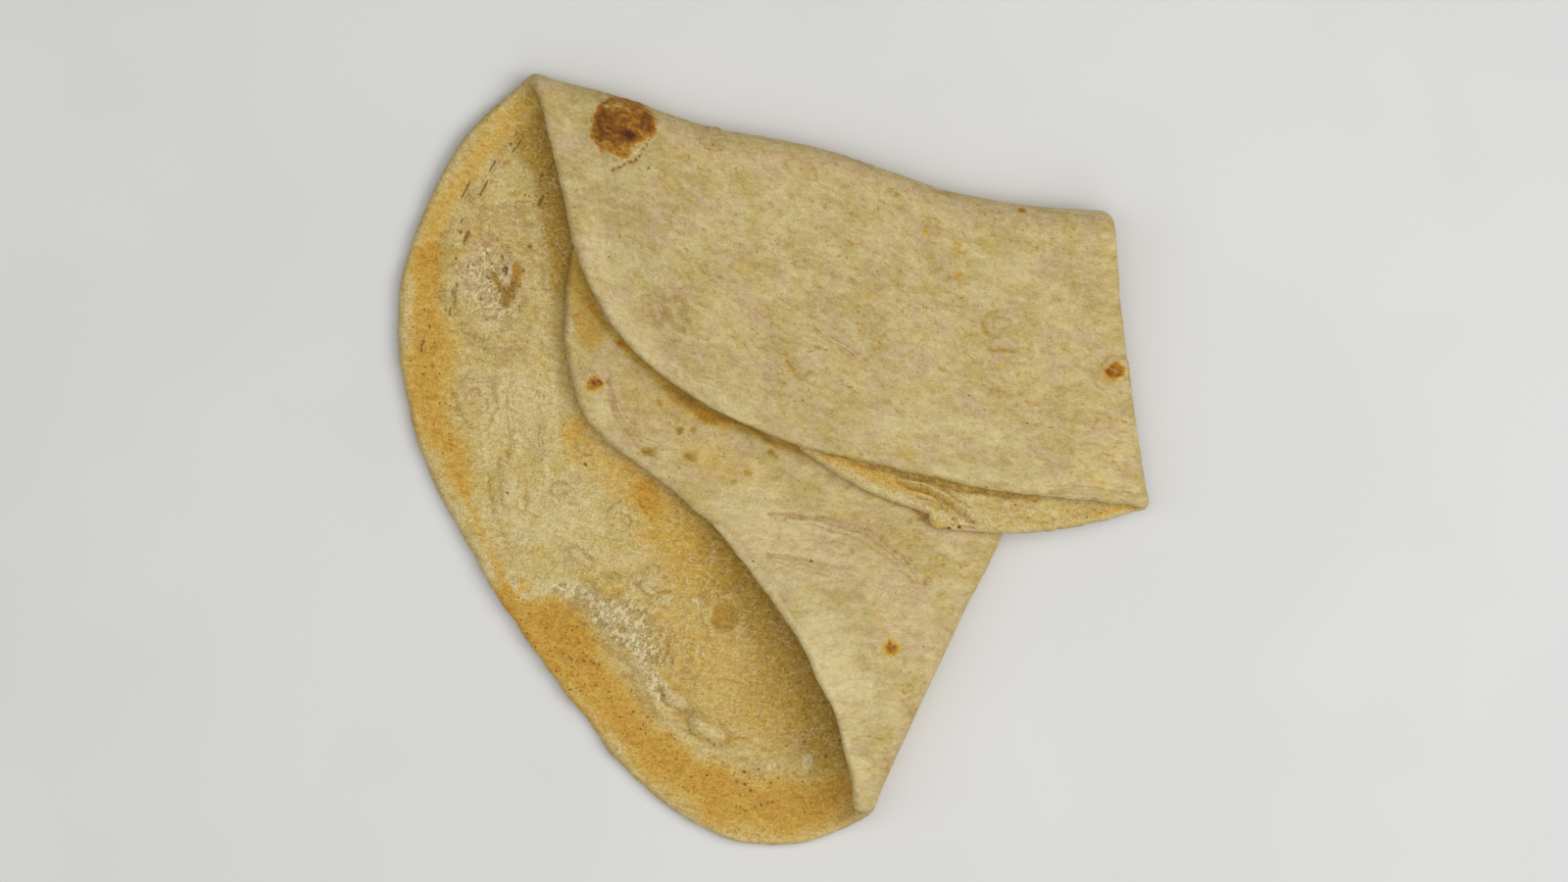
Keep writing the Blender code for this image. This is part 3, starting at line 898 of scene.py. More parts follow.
class Wiring:
    """Adds nodes to one material."""

    def __init__(self, name: str) -> None:
        """Start a material with a Principled shader."""
        self.material = bpy.data.materials.new(name)
        self.material.use_nodes = True
        self.tree = self.material.node_tree
        self.shader = self.tree.nodes["Principled BSDF"]

    def node(self, kind: str, settings: dict[str, object], feeds: dict[str | int, Feed],
             output: str | int = 0) -> Signal:
        """Add one node.

        Args:
            kind: The node's type.
            settings: What is set on the node before its sockets.
            feeds: A number, a colour or a signal for each input socket, by name or place.
            output: The output socket that is wanted, by name or place.

        Returns:
            The signal from that output.
        """
        made = self.tree.nodes.new(kind)
        for name, value in settings.items():
            setattr(made, name, value)
        for place, feed in feeds.items():
            self.feed(made.inputs[place], feed)
        return Signal(self, made.outputs[output])

    def feed(self, socket: bpy.types.NodeSocket, feed: Feed) -> None:
        """Link a signal to a socket, or set the socket's own value."""
        if isinstance(feed, Signal):
            self.tree.links.new(feed.socket, socket)
        elif isinstance(feed, tuple) and len(socket.default_value) == 4:
            socket.default_value = (*feed, 1.0)
        else:
            socket.default_value = feed

    def maths(self, operation: str, *values: "Signal | float") -> Signal:
        """Add a Math node on one or two values."""
        return self.node("ShaderNodeMath", {"operation": operation}, dict(enumerate(values)))

    def attribute(self, name: str, output: str = "Fac") -> Signal:
        """Read one of the mesh's own attributes."""
        return self.node("ShaderNodeAttribute", {"attribute_name": name}, {}, output)

    def blend(self, low: Signal | Colour, high: Signal | Colour, share: "Signal | float",
              mode: str = "MIX") -> Signal:
        """Mix two colours; share 1 gives the second one whole."""
        return self.node("ShaderNodeMix", {"data_type": "RGBA", "blend_type": mode},
                         {0: share, 6: low, 7: high}, 2)

    def coated(self, colour: Signal | Colour, *coats: tuple[Signal | Colour, Signal]) -> Signal:
        """Lay coats over a colour, each with the share of it that covers."""
        for coat, share in coats:
            colour = self.blend(colour, coat, share)
        return colour

    def shifted(self, at: Signal, pattern: Pattern | Specks) -> Signal:
        """Move a coordinate as a pattern asks, and stretch and turn it where the pattern can."""
        if pattern.shift is None:
            return at
        return self.node("ShaderNodeMapping", {}, {
            "Vector": at, "Location": pattern.shift,
            "Rotation": (0.0, 0.0, math.radians(getattr(pattern, "turn", 0.0))),
            "Scale": getattr(pattern, "stretch", (1.0, 1.0, 1.0))})

    def noise(self, at: Signal, pattern: Pattern) -> Signal:
        """Return soft noise from 0 to 1."""
        return self.node("ShaderNodeTexNoise", {}, {
            "Vector": self.shifted(at, pattern), "Scale": 1.0 / pattern.size,
            "Detail": pattern.detail, "Roughness": pattern.rough, "Distortion": pattern.warp})

    def scattered(self, at: Signal, specks: Specks, share: "Signal | float") -> Signal:
        """Return round dots, 1 inside them and 0 outside.

        Args:
            at: Coordinates in mm.
            specks: The dots' spacing, radius and softness.
            share: Share of the places that hold a dot.

        Returns:
            The dots' signal.
        """
        at = self.shifted(at, specks)
        wobble = self.node("ShaderNodeTexNoise", {}, {
            "Vector": at, "Scale": 0.8 / specks.radius, "Detail": 1.0}, "Color")
        wobbly = self.node("ShaderNodeVectorMath", {"operation": "ADD"}, {0: at, 1: wobble})
        cells = self.node("ShaderNodeTexVoronoi", {}, {"Vector": wobbly, "Scale": 1.0 / specks.spacing})
        chance = self.node("ShaderNodeSeparateColor", {}, {0: cells.node_output("Color")})
        edge = specks.radius / specks.spacing
        outside = cells.node_output("Distance").above(
            edge * (1.0 - specks.soft), edge * (1.0 + specks.soft))
        return (1.0 - outside) * self.maths("LESS_THAN", chance, share)

    def finish(self, colour: Signal, roughness: "Signal | float", height: Signal | None,
               gloss: float) -> bpy.types.Material:
        """Wire the shader.

        Args:
            colour: The base colour.
            roughness: The roughness.
            height: How far the fine surface stands up, in mm, or None for a smooth one.
            gloss: The constant specular level.

        Returns:
            The finished material.
        """
        self.feed(self.shader.inputs["Base Color"], colour)
        self.feed(self.shader.inputs["Roughness"], roughness)
        self.shader.inputs["Specular IOR Level"].default_value = gloss
        if height is not None:
            bump = self.node("ShaderNodeBump", {}, {"Height": height, "Distance": MM}, "Normal")
            self.feed(self.shader.inputs["Normal"], bump)
        return self.material


@dataclass(frozen=True)
class BakedCrust:
    """The bread's finish: pale outside, golden inside, browned, floured, flaky and speckled."""

    tan: Colour = (0.55, 0.42, 0.17)
    pale: Colour = (0.65, 0.52, 0.24)
    rosy: Colour = (0.60, 0.44, 0.24)
    blush: Colour = (0.66, 0.47, 0.25)
    sand: Colour = (0.58, 0.44, 0.14)
    olive: Colour = (0.46, 0.30, 0.055)
    ochre: Colour = (0.37, 0.19, 0.028)
    # browner crust and painted shade in the folds
    damp_and_painted_shade: Colour = (0.49, 0.30, 0.040)
    # painted shade in the relief's hollows and round its feet
    relief_shade: Colour = (0.40, 0.26, 0.075)
    straw: Colour = (0.60, 0.44, 0.15)
    maize: Colour = (0.61, 0.445, 0.115)
    cream: Colour = (0.67, 0.53, 0.22)
    gold: Colour = (0.65, 0.42, 0.09)
    orange: Colour = (0.58, 0.31, 0.045)
    amber: Colour = (0.50, 0.235, 0.022)
    brown: Colour = (0.22, 0.075, 0.012)
    char: Colour = (0.07, 0.022, 0.006)
    freckle: Colour = (0.47, 0.24, 0.05)
    # flour, and the painted light and highlights laid on with it
    flour_and_painted_light: Colour = (0.76, 0.615, 0.31)
    crumb: Colour = (0.84, 0.685, 0.37)
    crack: Colour = (0.26, 0.155, 0.048)
    bran: Colour = (0.24, 0.135, 0.045)
    roughness: float = 0.78
    gloss: float = 0.25
    broad: Pattern = Pattern(18.0, 3.0, 0.55)
    streaks: Pattern = Pattern(4.5, 3.0, 0.6, 0.0, (21.0, 8.0, 3.0), (0.3, 1.0, 1.0), 8.0)
    middling: Pattern = Pattern(7.0, 3.0, 0.65, 0.0, (37.0, 11.0, 5.0))
    hue: Pattern = Pattern(10.0, 4.0, 0.65, 0.0, (13.0, 71.0, 2.0))
    fine: Pattern = Pattern(1.6, 3.0)
    finest: Pattern = Pattern(0.8, 2.0)
    threads: Pattern = Pattern(3.4, 1.0, 0.5, 1.5, (7.0, 3.0, 2.0), (0.7, 1.0, 1.0), 35.0)
    crumbs: Pattern = Pattern(2.1, 3.0, 0.7, 0.0, (9.0, 4.0, 1.0), (1.0, 0.7, 1.0))
    grain: Pattern = Pattern(2.0, 3.0, 0.9, 0.0, (3.0, 19.0, 7.0), (0.6, 1.0, 1.0), 10.0)
    pits: Specks = Specks(1.9, 0.34)
    bran_bits: Specks = Specks(2.9, 0.24, 0.4, (5.0, 3.0, 9.0))
    freckles: Specks = Specks(3.1, 0.42, 0.7, (8.0, 6.0, 4.0))
    stains: Specks = Specks(11.0, 1.3, 0.8, (2.0, 5.0, 7.0))

    def build(self) -> bpy.types.Material:
        """Make the crust's material."""
        wiring = Wiring("baked crust")
        at = wiring.attribute("sheet", "Vector")
        inner = wiring.attribute("inner")
        amounts = {paint: wiring.attribute(paint.value) for paint in Paint}
        streaks, middling, hue, fine, finest, threads, crumbs, grain = (
            wiring.noise(at, pattern) for pattern in (
                self.streaks, self.middling, self.hue, self.fine, self.finest, self.threads,
                self.crumbs, self.grain))

        # The bare skin: pale outside, yellower inside, browner with painted shade in the folds
        shade = 0.55 * wiring.noise(at, self.broad) + 0.45 * streaks
        yellow = 1.0 - hue
        rosy = amounts[Paint.ROSY]
        rosy_outside = 0.4 * (middling - 0.5) + rosy
        outside = wiring.coated(
            self.tan,
            (self.pale, shade.above(0.41, 0.57)),
            (self.rosy, hue.above(0.50, 0.64) * 0.8),
            (self.sand, yellow.above(0.52, 0.66) * 0.65),
            (self.blush, rosy_outside.above(0.1, 1.0) * 0.9))
        inside = wiring.coated(
            self.straw,
            (self.cream, shade.above(0.40, 0.58)),
            (self.rosy, hue.above(0.52, 0.68) * 0.5),
            (self.maize, yellow.above(0.50, 0.64) * 0.7),
            (self.blush, rosy.above(0.1, 0.8) * 0.8))
        damp_and_painted_shade = amounts[Paint.DAMP_AND_PAINTED_SHADE] * (0.5 + 0.6 * middling + 0.4 * streaks)

        # Golden to orange browning
        toast = amounts[Paint.TOAST] + 0.7 * (middling - 0.5) + 0.15 * (fine - 0.5)
        toasted = wiring.blend(self.gold, self.orange, toast.above(0.62, 1.30))

        # Flour: in wisps and dusted on, with some painted light among it
        wisps = (1.0 - 11.0 * abs(threads - 0.5)).above(0.0, 0.8) * fine.above(0.42, 0.56)
        wisps = wisps * inner * (1.0 - toast.above(0.55, 1.0))
        flour_and_painted_light = (amounts[Paint.FLOUR_AND_PAINTED_LIGHT] + 0.9 * (middling - 0.5) + 0.4 * (fine - 0.5)
                 + 0.5 * (streaks - 0.5))
        # Painted shade in the relief's grooves and round its feet, a painted highlight on its tops
        worked = wiring.attribute("worked")
        relief_shade = (0.25 * (fine - 0.5) - worked).above(0.12, 0.95)
        foot_shade = worked.above(0.03, 0.15) - worked.above(0.15, 0.50)

        # Flaking skin with gaps in it, and greenish stains, some of them painted shade in hollows
        flaking = (amounts[Paint.FLAKY] + 0.4 * (middling - 0.5)).above(0.2, 0.8)
        flake = crumbs.above(0.46, 0.54) * flaking
        gap = (1.0 - 14.0 * abs(crumbs - 0.44)).above(0.0, 0.8) * flaking
        olive = amounts[Paint.OLIVE] + 0.5 * (fine - 0.5)
        stained_and_shaded = wiring.blend(self.olive, self.ochre, olive.above(0.70, 1.15))

        # Scorching from amber to black, and painted shade by the cover's edge, held back under flour
        scorch_and_painted_shade = (amounts[Paint.SCORCH_AND_PAINTED_SHADE] - 0.35 * amounts[Paint.FLOUR_AND_PAINTED_LIGHT] + 0.9 * (threads - 0.5)
                  + 0.55 * (fine - 0.5) + 0.45 * (finest - 0.5))
        scorched_and_shaded = wiring.coated(
            self.amber, (self.brown, scorch_and_painted_shade.above(0.30, 0.85)), (self.char, scorch_and_painted_shade.above(0.85, 1.20)))

        # Slits, pits and bran, and the grain over everything
        slit = (amounts[Paint.SPLIT] + 0.25 * (fine - 0.5)).above(0.35, 0.70)
        pits = wiring.scattered(at, self.pits, amounts[Paint.PITS] * 0.9)
        bran = wiring.scattered(at, self.bran_bits, 0.30)
        speckle = 0.5 + 1.9 * (grain - 0.5) + (0.5 + 1.0 * inner) * (finest - 0.5)

        colour = wiring.coated(
            outside,
            (inside, inner),
            # browner crust and painted shade in the folds
            (self.damp_and_painted_shade, damp_and_painted_shade.above(0.0, 1.0) * 0.95),
            (toasted, toast.above(0.0, 0.9)),
            (self.flour_and_painted_light, wisps * 0.45),
            # flour, with the painted light and highlights
            (self.flour_and_painted_light, flour_and_painted_light.above(0.2, 1.0) * 0.9),
            # painted shade in grooves and round feet, then a painted highlight on what stands proud
            (self.relief_shade, relief_shade * 0.65),
            (self.relief_shade, foot_shade.above(0.0, 1.0) * streaks.above(0.36, 0.56) * 0.5),
            (self.flour_and_painted_light, worked.above(0.25, 1.1) * 0.3),
            (self.crumb, flake * 0.85),
            (self.ochre, gap * 0.35),
            (stained_and_shaded, olive.above(0.15, 0.85) * 0.85),
            (scorched_and_shaded, scorch_and_painted_shade.above(0.05, 0.42)),
            (self.crack, slit * 0.85),
            (self.brown, pits * 0.8),
            (self.bran, bran * 0.8),
            (self.freckle, wiring.scattered(at, self.freckles, 0.45) * 0.50),
            (self.gold, wiring.scattered(at, self.stains, 0.35) * 0.45))
        colour = wiring.blend(colour, speckle, 0.65, "SOFT_LIGHT")
        height = (0.32 * fine + 0.16 * finest + 0.25 * grain + 0.12 * wisps + 0.22 * flake - 0.15 * gap
                  - 0.20 * pits - 0.15 * bran - 0.30 * slit)
        return wiring.finish(colour, self.roughness, height, self.gloss)


@dataclass(frozen=True)
class PaleTable:
    """The table's finish: a plain, very slightly uneven off-white."""

    white: Colour = (0.80, 0.80, 0.79)
    shade: Colour = (0.78, 0.78, 0.77)
    clouds: Pattern = Pattern(0.12)
    roughness: float = 0.9
    gloss: float = 0.1

    def build(self) -> bpy.types.Material:
        """Make the table's material."""
        wiring = Wiring("pale table")
        at = wiring.node("ShaderNodeTexCoord", {}, {}, "Object")
        colour = wiring.blend(self.white, self.shade, wiring.noise(at, self.clouds).above(0.4, 0.6))
        return wiring.finish(colour, self.roughness, None, self.gloss)


@dataclass
class Studio:
    """The table, the soft lights and the camera."""

    table_size: float = 9.0
    camera_height: float = 5.0
    camera_lens: float = 312.5
    camera_aim: Spot = (4.0 * MM, 6.8 * MM)
    camera_reach: float = 50.0
    sky: float = 0.24
    sky_colour: Colour = (1.0, 0.995, 0.985)
    light_distance: float = 1.8
    lights: tuple[tuple[str, float, float, float, float], ...] = (
        # name, compass angle from +X, height angle, size, power
        ("window", 0.0, 50.0, 1.2, 12.6),
        ("ceiling", 0.0, 90.0, 1.5, 7.8),
        ("left lamp", 180.0, 50.0, 1.2, 3.2),
        ("near lamp", 295.0, 50.0, 1.2, 3.6),
    )

    def build(self) -> None:
        """Make the table, the lights and the camera."""
        self.build_table()
        self.build_lights()
        self.build_camera()

    def build_table(self) -> None:
        """Lay the table down at z = 0."""
        bpy.ops.object.select_all(action="DESELECT")
        bpy.ops.mesh.primitive_plane_add(size=self.table_size)
        table = bpy.context.object
        table.name = table.data.name = "table"
        table.data.materials.append(PaleTable().build())

    def build_lights(self) -> None:
        """Light the table from all round and above, and most from the right."""
        world = bpy.data.worlds.new("soft sky")
        world.use_nodes = True
        sky = world.node_tree.nodes["Background"]
        sky.inputs["Color"].default_value = (*self.sky_colour, 1.0)
        sky.inputs["Strength"].default_value = self.sky
        bpy.context.scene.world = world
        for name, compass, height, size, power in self.lights:
            light = bpy.data.lights.new(name, "AREA")
            light.shape, light.size, light.energy = "DISK", size, power
            lamp = bpy.data.objects.new(name, light)
            level = self.light_distance * math.cos(math.radians(height))
            lamp.location = (*(level * direction(compass)),
                             self.light_distance * math.sin(math.radians(height)))
            lamp.rotation_mode = "QUATERNION"
            lamp.rotation_quaternion = lamp.location.to_track_quat("Z", "Y")
            lamp.visible_camera = False
            bpy.context.scene.collection.objects.link(lamp)

    def build_camera(self) -> None:
        """Look straight down at the bread."""
        camera = bpy.data.cameras.new("overhead camera")
        camera.lens = self.camera_lens
        camera.clip_end = self.camera_reach
        holder = bpy.data.objects.new("overhead camera", camera)
        holder.location = (*self.camera_aim, self.camera_height)
        bpy.context.scene.collection.objects.link(holder)
        bpy.context.scene.camera = holder
        bpy.context.scene.view_settings.view_transform = "Standard"


# The skin's reliefs and marks. Places are seen from above, in mm, in the frame that the sheet is
# folded in, where the heel is at (123.2, 88.3). First the open slits in the floor's dry skin, the
# curled shreds on it, and its small pale crusts.

SLITS: tuple[tuple[Spot, ...], ...] = (
    ((-90.9, 118.6), (-94.5, 113.2), (-97.7, 108.2)), ((-99.2, 112.5), (-102.8, 106), (-104.5, 103)),
    ((-94, 118.6), (-96.5, 114.5)), ((-110.7, 104.2), (-114.7, 94.5), (-116.8, 89.1)),
    ((-104.2, 101.7), (-107.5, 97), (-110.3, 92.7)), ((-114.7, 87.3), (-115.4, 82.6)),
    ((-128.2, 44), (-129.2, 38.5)), ((-84, 104.2), (-88.4, 99.9)), ((-83.5, 99), (-86.5, 93.5)),
    ((-79.5, 110.5), (-82, 105)), ((-115.8, 74), (-116.4, 67.5)), ((-99.8, 74), (-98.2, 66)),
    ((-112, 83), (-113, 79.5)), ((-81, -68.5), (-78, -73)), ((-77.2, -71.9), (-73.7, -74.7)),
    ((-75.4, -73.6), (-64.3, -76.2)), ((-11, -115), (-9.5, -117.5)), ((-14.2, -118.3), (-12.8, -119.8)),
    ((-11, -119.8), (-7.8, -122.3)), ((-7.8, -127.2), (-2.7, -125.8), (-1.6, -123.7)),
    ((-41.5, -109.3), (-39.3, -110.4)),
)
SHREDS: tuple[tuple[Spot, ...], ...] = (
    ((-32.5, -68.5), (-32, -72.8)), ((-26, -68.5), (-25, -74)), ((-34, -55), (-33, -58.5)),
    ((-41.2, -32.5), (-39, -37.5)), ((-22, -30.5), (-21, -34.7)), ((-30.5, -50), (-28.5, -52.7)),
    ((-23.2, -62), (-22.9, -56.5)), ((-58.5, -18.5), (-55, -17), (-53.5, -19.5)),
)
CRUSTS: tuple[tuple[float, ...], ...] = (
    (-43, -85, 9, 15, 25), (-78, -48.5, 7, 7, 0), (-95.3, -46, 4, 8, 0), (-93, -28.7, 8, 6, 0),
    (12.5, -111.4, 5, 5, 0), (-0.5, -114, 6, 5, 0),
)

RELIEFS: dict[Surface, tuple[Relief, ...]] = {
    Surface.COVER: reliefs(
        # The charred blister, the crease round its foot and the torn spot beside it
        (-55.5, 121.5, 27, 23, -10, 0.12, 0.9, -0.3, 1.6),
        (((-44.5, 119.5), (-46.5, 114.5), (-50.5, 110), (-59.5, 105)), 2, 0, -0.8, 0.2),
        (-22, 116.5, 5, 5.5, 0, 0.3, -0.8, 0.4),
        # The fine ridge across the middle, with a groove along it
        (((13.5, 60), (15.6, 48), (22.9, 43), (28.6, 38.7), (35, 33.7)), 2.2, 0.3, 0.6),
        (((14.2, 46.6), (21.6, 41.4), (27.2, 37.2), (33.8, 32.2)), 1.8, 0.3, -0.6),
        (((-13, 54), (3, 50.5), (13, 48.5)), 2, 0.5, -0.35),
        # The crescent and the short grooves right of the middle
        (((84, 54.3), (79.5, 53), (77.2, 49.8), (77.8, 46.5), (81, 44.2)), 3.6, 0.5, -0.5),
        (84, 49.5, 9, 6.5, 0, 0, 0.5, 0, 1.5), (((79, 39.4), (88.5, 39.2)), 1.8, 0.3, -0.6),
        (((88, 60.5), (99, 57.5), (110, 58.5)), 3, 0.8, -0.35),
        (((52, 26.5), (66, 24.5), (84, 25.5)), 2.6, 0.8, -0.3),
        # The dent near the lower rim and the small dents by the edge
        (((4.5, 35.5), (7, 32), (10.5, 29.5)), 2.4, 0, -0.7), (13.8, 29.5, 6, 7.5, 20, 0, 0.55),
        (-34.5, 53, 6, 9, 10, 0, -0.5, 0.2), (-42, 54.5, 4, 9, 0, 0, -0.4, 0.2),
        # The pitted spot and the ledge at the right edge, and the long streak at the bottom
        (125.2, 32.2, 7, 6.5, 0, 0.2, -0.9, 0.4, 1.4), (((120.5, 28.2), (128.5, 26.8)), 2, 0, -0.6),
        (((101, -9.3), (116, -8.3), (133, -9.9)), 1.8, 0.4, -0.5),
        (((101, -12), (118, -11.4), (132, -12.9)), 2.4, 0.4, 0.35),
    ),
    Surface.LINING: reliefs(
        # The gap under the cover, the pleats and the torn nub
        (((26.5, 0.2), (46, -5), (66, -10.5), (80, -12.8), (96, -14.5)), 3.6, 0, -1),
        (((46, -8), (56, -12), (62.5, -15.8), (67, -18.9), (73.5, -23)), 2.6, 0, -1.3),
        (((50, -7), (60, -11.6), (67, -16), (72, -20)), 3, 0, 0.8),
        (((52.5, -13.5), (60, -16), (64, -19.5), (66, -22)), 2, 0, -0.9),
        (59.8, -24.6, 8, 4.5, -15, 0, 0.6), (((64, -23.6), (70, -25.4), (74, -26)), 1.6, 0, -0.9),
        (((84, -21), (100, -22), (116, -19.5)), 3, 0.6, -0.4),
    ),
    Surface.FLAP: reliefs(
        # The double crease by the left rim and the wrinkles across the middle
        (((-61, 29.7), (-60.2, 20.7), (-56.6, 13.5), (-50.6, 5.5), (-43.7, 0.9)), 2.4, 0.3, -0.8),
        (((-58.8, 30.5), (-57.4, 20.5), (-53.6, 13.8), (-47.8, 6.6), (-40.7, 2.6)), 2, 0.3, 0.6),
        (((-2, -20), (7, -20.3), (16, -21.4), (25, -23.6), (34.7, -26.5), (40.9, -30.4), (47.3, -35.5),
          (52, -40.5), (55.6, -45.9)), 2.4, 0.4, -0.9),
        (((5, -22.8), (15, -24), (24, -26.4), (33, -29.4), (39, -33), (45.5, -38.2),
          (51, -44)), 3.4, 0.4, 0.6),
        (((-2, -34.4), (7, -36.5), (13.5, -38.3), (20.3, -39.4), (27.5, -40.5)), 2.4, 0.4, -0.8),
        (((-1, -37.2), (8, -39.3), (20, -42.2)), 3.4, 0.4, 0.4),
        (((-12, -26.5), (4, -27.5), (18, -29.5)), 2.2, 0.6, -0.35), (24, -33.5, 16, 7, -20, 0, 0.45),
        (((-29, -2.5), (-14, -5), (2, -8), (14, -13)), 2.6, 0.8, -0.4),
        (((48, -29.5), (60, -34.5), (66, -41)), 2.4, 0.6, -0.4),
        (((30, -50), (33, -62), (37, -75)), 3, 0.8, -0.3), (-28, 14, 10, 6, -30, 0, -0.5),
    ),
    Surface.FLOOR: reliefs(
        # Open slits in the dry skin
        *((points, 1.5, 0.3, -0.8, 0.2) for points in SLITS),
        # The rough torn patch and the fibres beside it
        (-103, 64, 22, 34, 10, 0.25, -0.5, 0.4, 1.3), (-99, 61, 6, 13, -12, 0.3, -0.7),
        (((-116.5, 64), (-117.5, 57), (-118.3, 51)), 2.2, 0.3, -0.9, 0.3),
        # Ridges and bubbles below it
        (((-96.5, 27), (-96, 13.5), (-95, 1)), 2.6, 0.6, 0.7),
        (((-86, 24), (-84, 10), (-86, -4)), 3, 0.8, 0.45),
        (((-105.5, -2.7), (-104, -12.4), (-100.5, -24.5), (-97.5, -32)), 1.6, 0.4, -0.8),
        (-97.3, -10, 10.5, 26, 12, 0.1, 0.8, -0.2, 1.4), (-109.5, 20.5, 9, 12, 15, 0.15, -0.3, 0.5, 1.6),
        (-78.5, -12, 14, 9, 30, 0.2, 0.5), (-55.5, -22.5, 7, 8, 0, 0.2, -0.4, 0.5, 1.6),
        (-70, 3, 12, 5, -30, 0.2, 0.5), (-43.5, -44.3, 14, 11, -10, 0.1, 0.9, -0.2, 1.6),
        (-58, -44, 8.5, 6.5, 0, 0.15, 0.6, -0.3, 1.6), (-72, -36, 16, 7, -35, 0.2, 0.45),
        (-17.5, -58.8, 12, 12, 0, 0.2, -0.6, 0.6, 1.8),
        # The flaky crusts
        (-54.2, -62.1, 34, 15, -42, 0.3, 0.6, 0.2, 1.5), (-54.8, -62.3, 7, 5, -30, 0.2, -1, 0.3),
        (-50.5, -65.8, 3.5, 3, 0, 0, -0.9, 0.2), (-43, -85, 10, 14, 25, 0.25, 0.5, 0.2, 1.5),
        (-78, -48.5, 6.5, 6.5, 0, 0.3, 0.6), (-95.3, -46, 3.5, 7, 0, 0.3, 0.5),
        # The two long blisters above the golden bottom
        (-36, -88.4, 12, 8, -42, 0.05, 0.9, -0.6, 1.9),
        (-24.2, -99.7, 15.5, 7.2, -32, 0.05, 1.3, -0.7, 2),
        # Curled shreds
        *((points, 1.4, 0.3, 0.6) for points in SHREDS),
    ),
}

COVER_MARKS: dict[Paint, tuple[Mark, ...]] = {
    # The charred blister, the pitted spot at the right edge and small scorches
    Paint.SCORCH_AND_PAINTED_SHADE: marks(
        (-55.5, 123.5, 27, 19, -18, 0.12, 0.58, 0.75), (-60.5, 120.5, 16, 20, 0, 0.2, 0.52, 0.7),
        (-55.5, 113, 9, 9, 10, 0.3, 0.44, 0.5), (-53.5, 119, 12, 9, -35, 0.25, 0.88, 0.2),
        (-46.5, 122.5, 9, 15, 15, 0.25, 0.55, 0.3), (-23.5, 122.3, 3.6, 1.6, 0, 0, 0.8),
        (((-21.5, 117.5), (-22, 114.5)), 1, 0, 0.4), (-66.8, 68.8, 3, 4, 0, 0, 0.36),
        (91, 91, 6, 2.2, 0, 0, 0.45), (125.6, 32, 9, 8, 0, 0.25, 0.6, 0.45)),
    Paint.FLOUR_AND_PAINTED_LIGHT: marks(
        # The first is a painted highlight on the charred blister
        (-58.5, 129, 13, 3.5, -8, 0.3, 0.8), (-65, 104, 14, 10, 30, 0.2, 0.55),
        (92, 66, 46, 30, -10, 0.3, 0.42, 0.1), (70, 8, 124, 30, -8, 0.3, 0.45, 0.2),
        (((-66, 84), (-62, 60), (-51, 43), (-33, 26.5), (-12, 15)), 17, 0, 0.55),
        # A painted highlight by the dent, then painted light on the top right and drooping lower rims
        (14.5, 29, 6, 8, 20, 0.2, 0.4), (((80, 97), (110, 91), (124, 89)), 8, 1, 0.6),
        (((60, -3), (92, -8), (133, -11)), 8, 1, 0.6), (-73, 124, 14, 26, 20, 0.3, 0.5)),
    # The crease round the blister's foot, and bran
    Paint.SPLIT: marks(
        (((-44.5, 119.5), (-46.5, 114.5), (-50.5, 110), (-59.5, 105)), 1.8, 0, 0.7),
        (Dots((
            (-45.6, 106.3), (-43.2, 106), (-35.7, 32.3), (10.9, 21.2), (16.6, 8.6), (13.4, 24.4),
            (-7.4, 46.6), (47.8, 95.3), (31.5, 88), (71, 22.4), (92.5, 12.6), (-5, 77), (-23.2, 63.1),
            (101.6, 80.1)), 1.2), 0.9)),
    # Little golden streaks, and the toasted right and lower edges
    Paint.TOAST: marks(
        (-68.5, 92.3, 3.5, 3, 0, 0, 0.5), (121.8, 84, 7, 4.5, 0, 0, 0.5),
        *((x, y, 4.4, long, 0, 0.3, amount + 0.3) for x, y, long, amount in (
            (54.8, 83.4, 4, 0.5), (67.2, 77.2, 9, 0.4), (68.2, 67.2, 4, 0.62), (57, 66.3, 3, 0.3),
            (34.6, 60.2, 2.5, 0.4), (-9, 30.6, 2.5, 0.35), (83.6, 34.4, 3.2, 0.45), (86.5, 62.5, 3, 0.3),
            (95.9, 19.7, 2.4, 0.45), (-31, 94, 3, 0.3), (-39, 99, 4, 0.25))),
        (125, 31.5, 13, 12, 0, 0.25, 0.7, 0.3), (((115.3, -8.7), (121.3, -8.9)), 2.8, 0, 0.95),
        (((101, -9.3), (133, -9.9)), 2, 0, 0.3), (((44.5, 1.4), (52, 1.1)), 2, 0, 0.55)),
    # Painted shade, olive brown, in the crescent, the grooves and the dents
    Paint.OLIVE: marks(
        (((83, 54), (79.5, 53), (77.2, 49.8), (77.8, 46.5), (80.5, 44.4)), 4.4, 0.8, 0.7, 0),
        (((79, 39.4), (88.5, 39.2)), 2.4, 0, 0.7), (46, 16.7, 7, 3, 0, 0, 0.5),
        (((14.2, 46.4), (21.6, 41.2), (33.8, 32)), 2, 0, 0.5),
        (((4.5, 35.5), (7, 32), (10.5, 29.5)), 2.4, 0, 0.7), (-34.5, 53, 5, 9, 10, 0.3, 0.4)),
    Paint.ROSY: marks((((-34, 116), (20, 108), (60, 95), (100, 87)), 12, 1.5, 0.6, 0.1)),
}
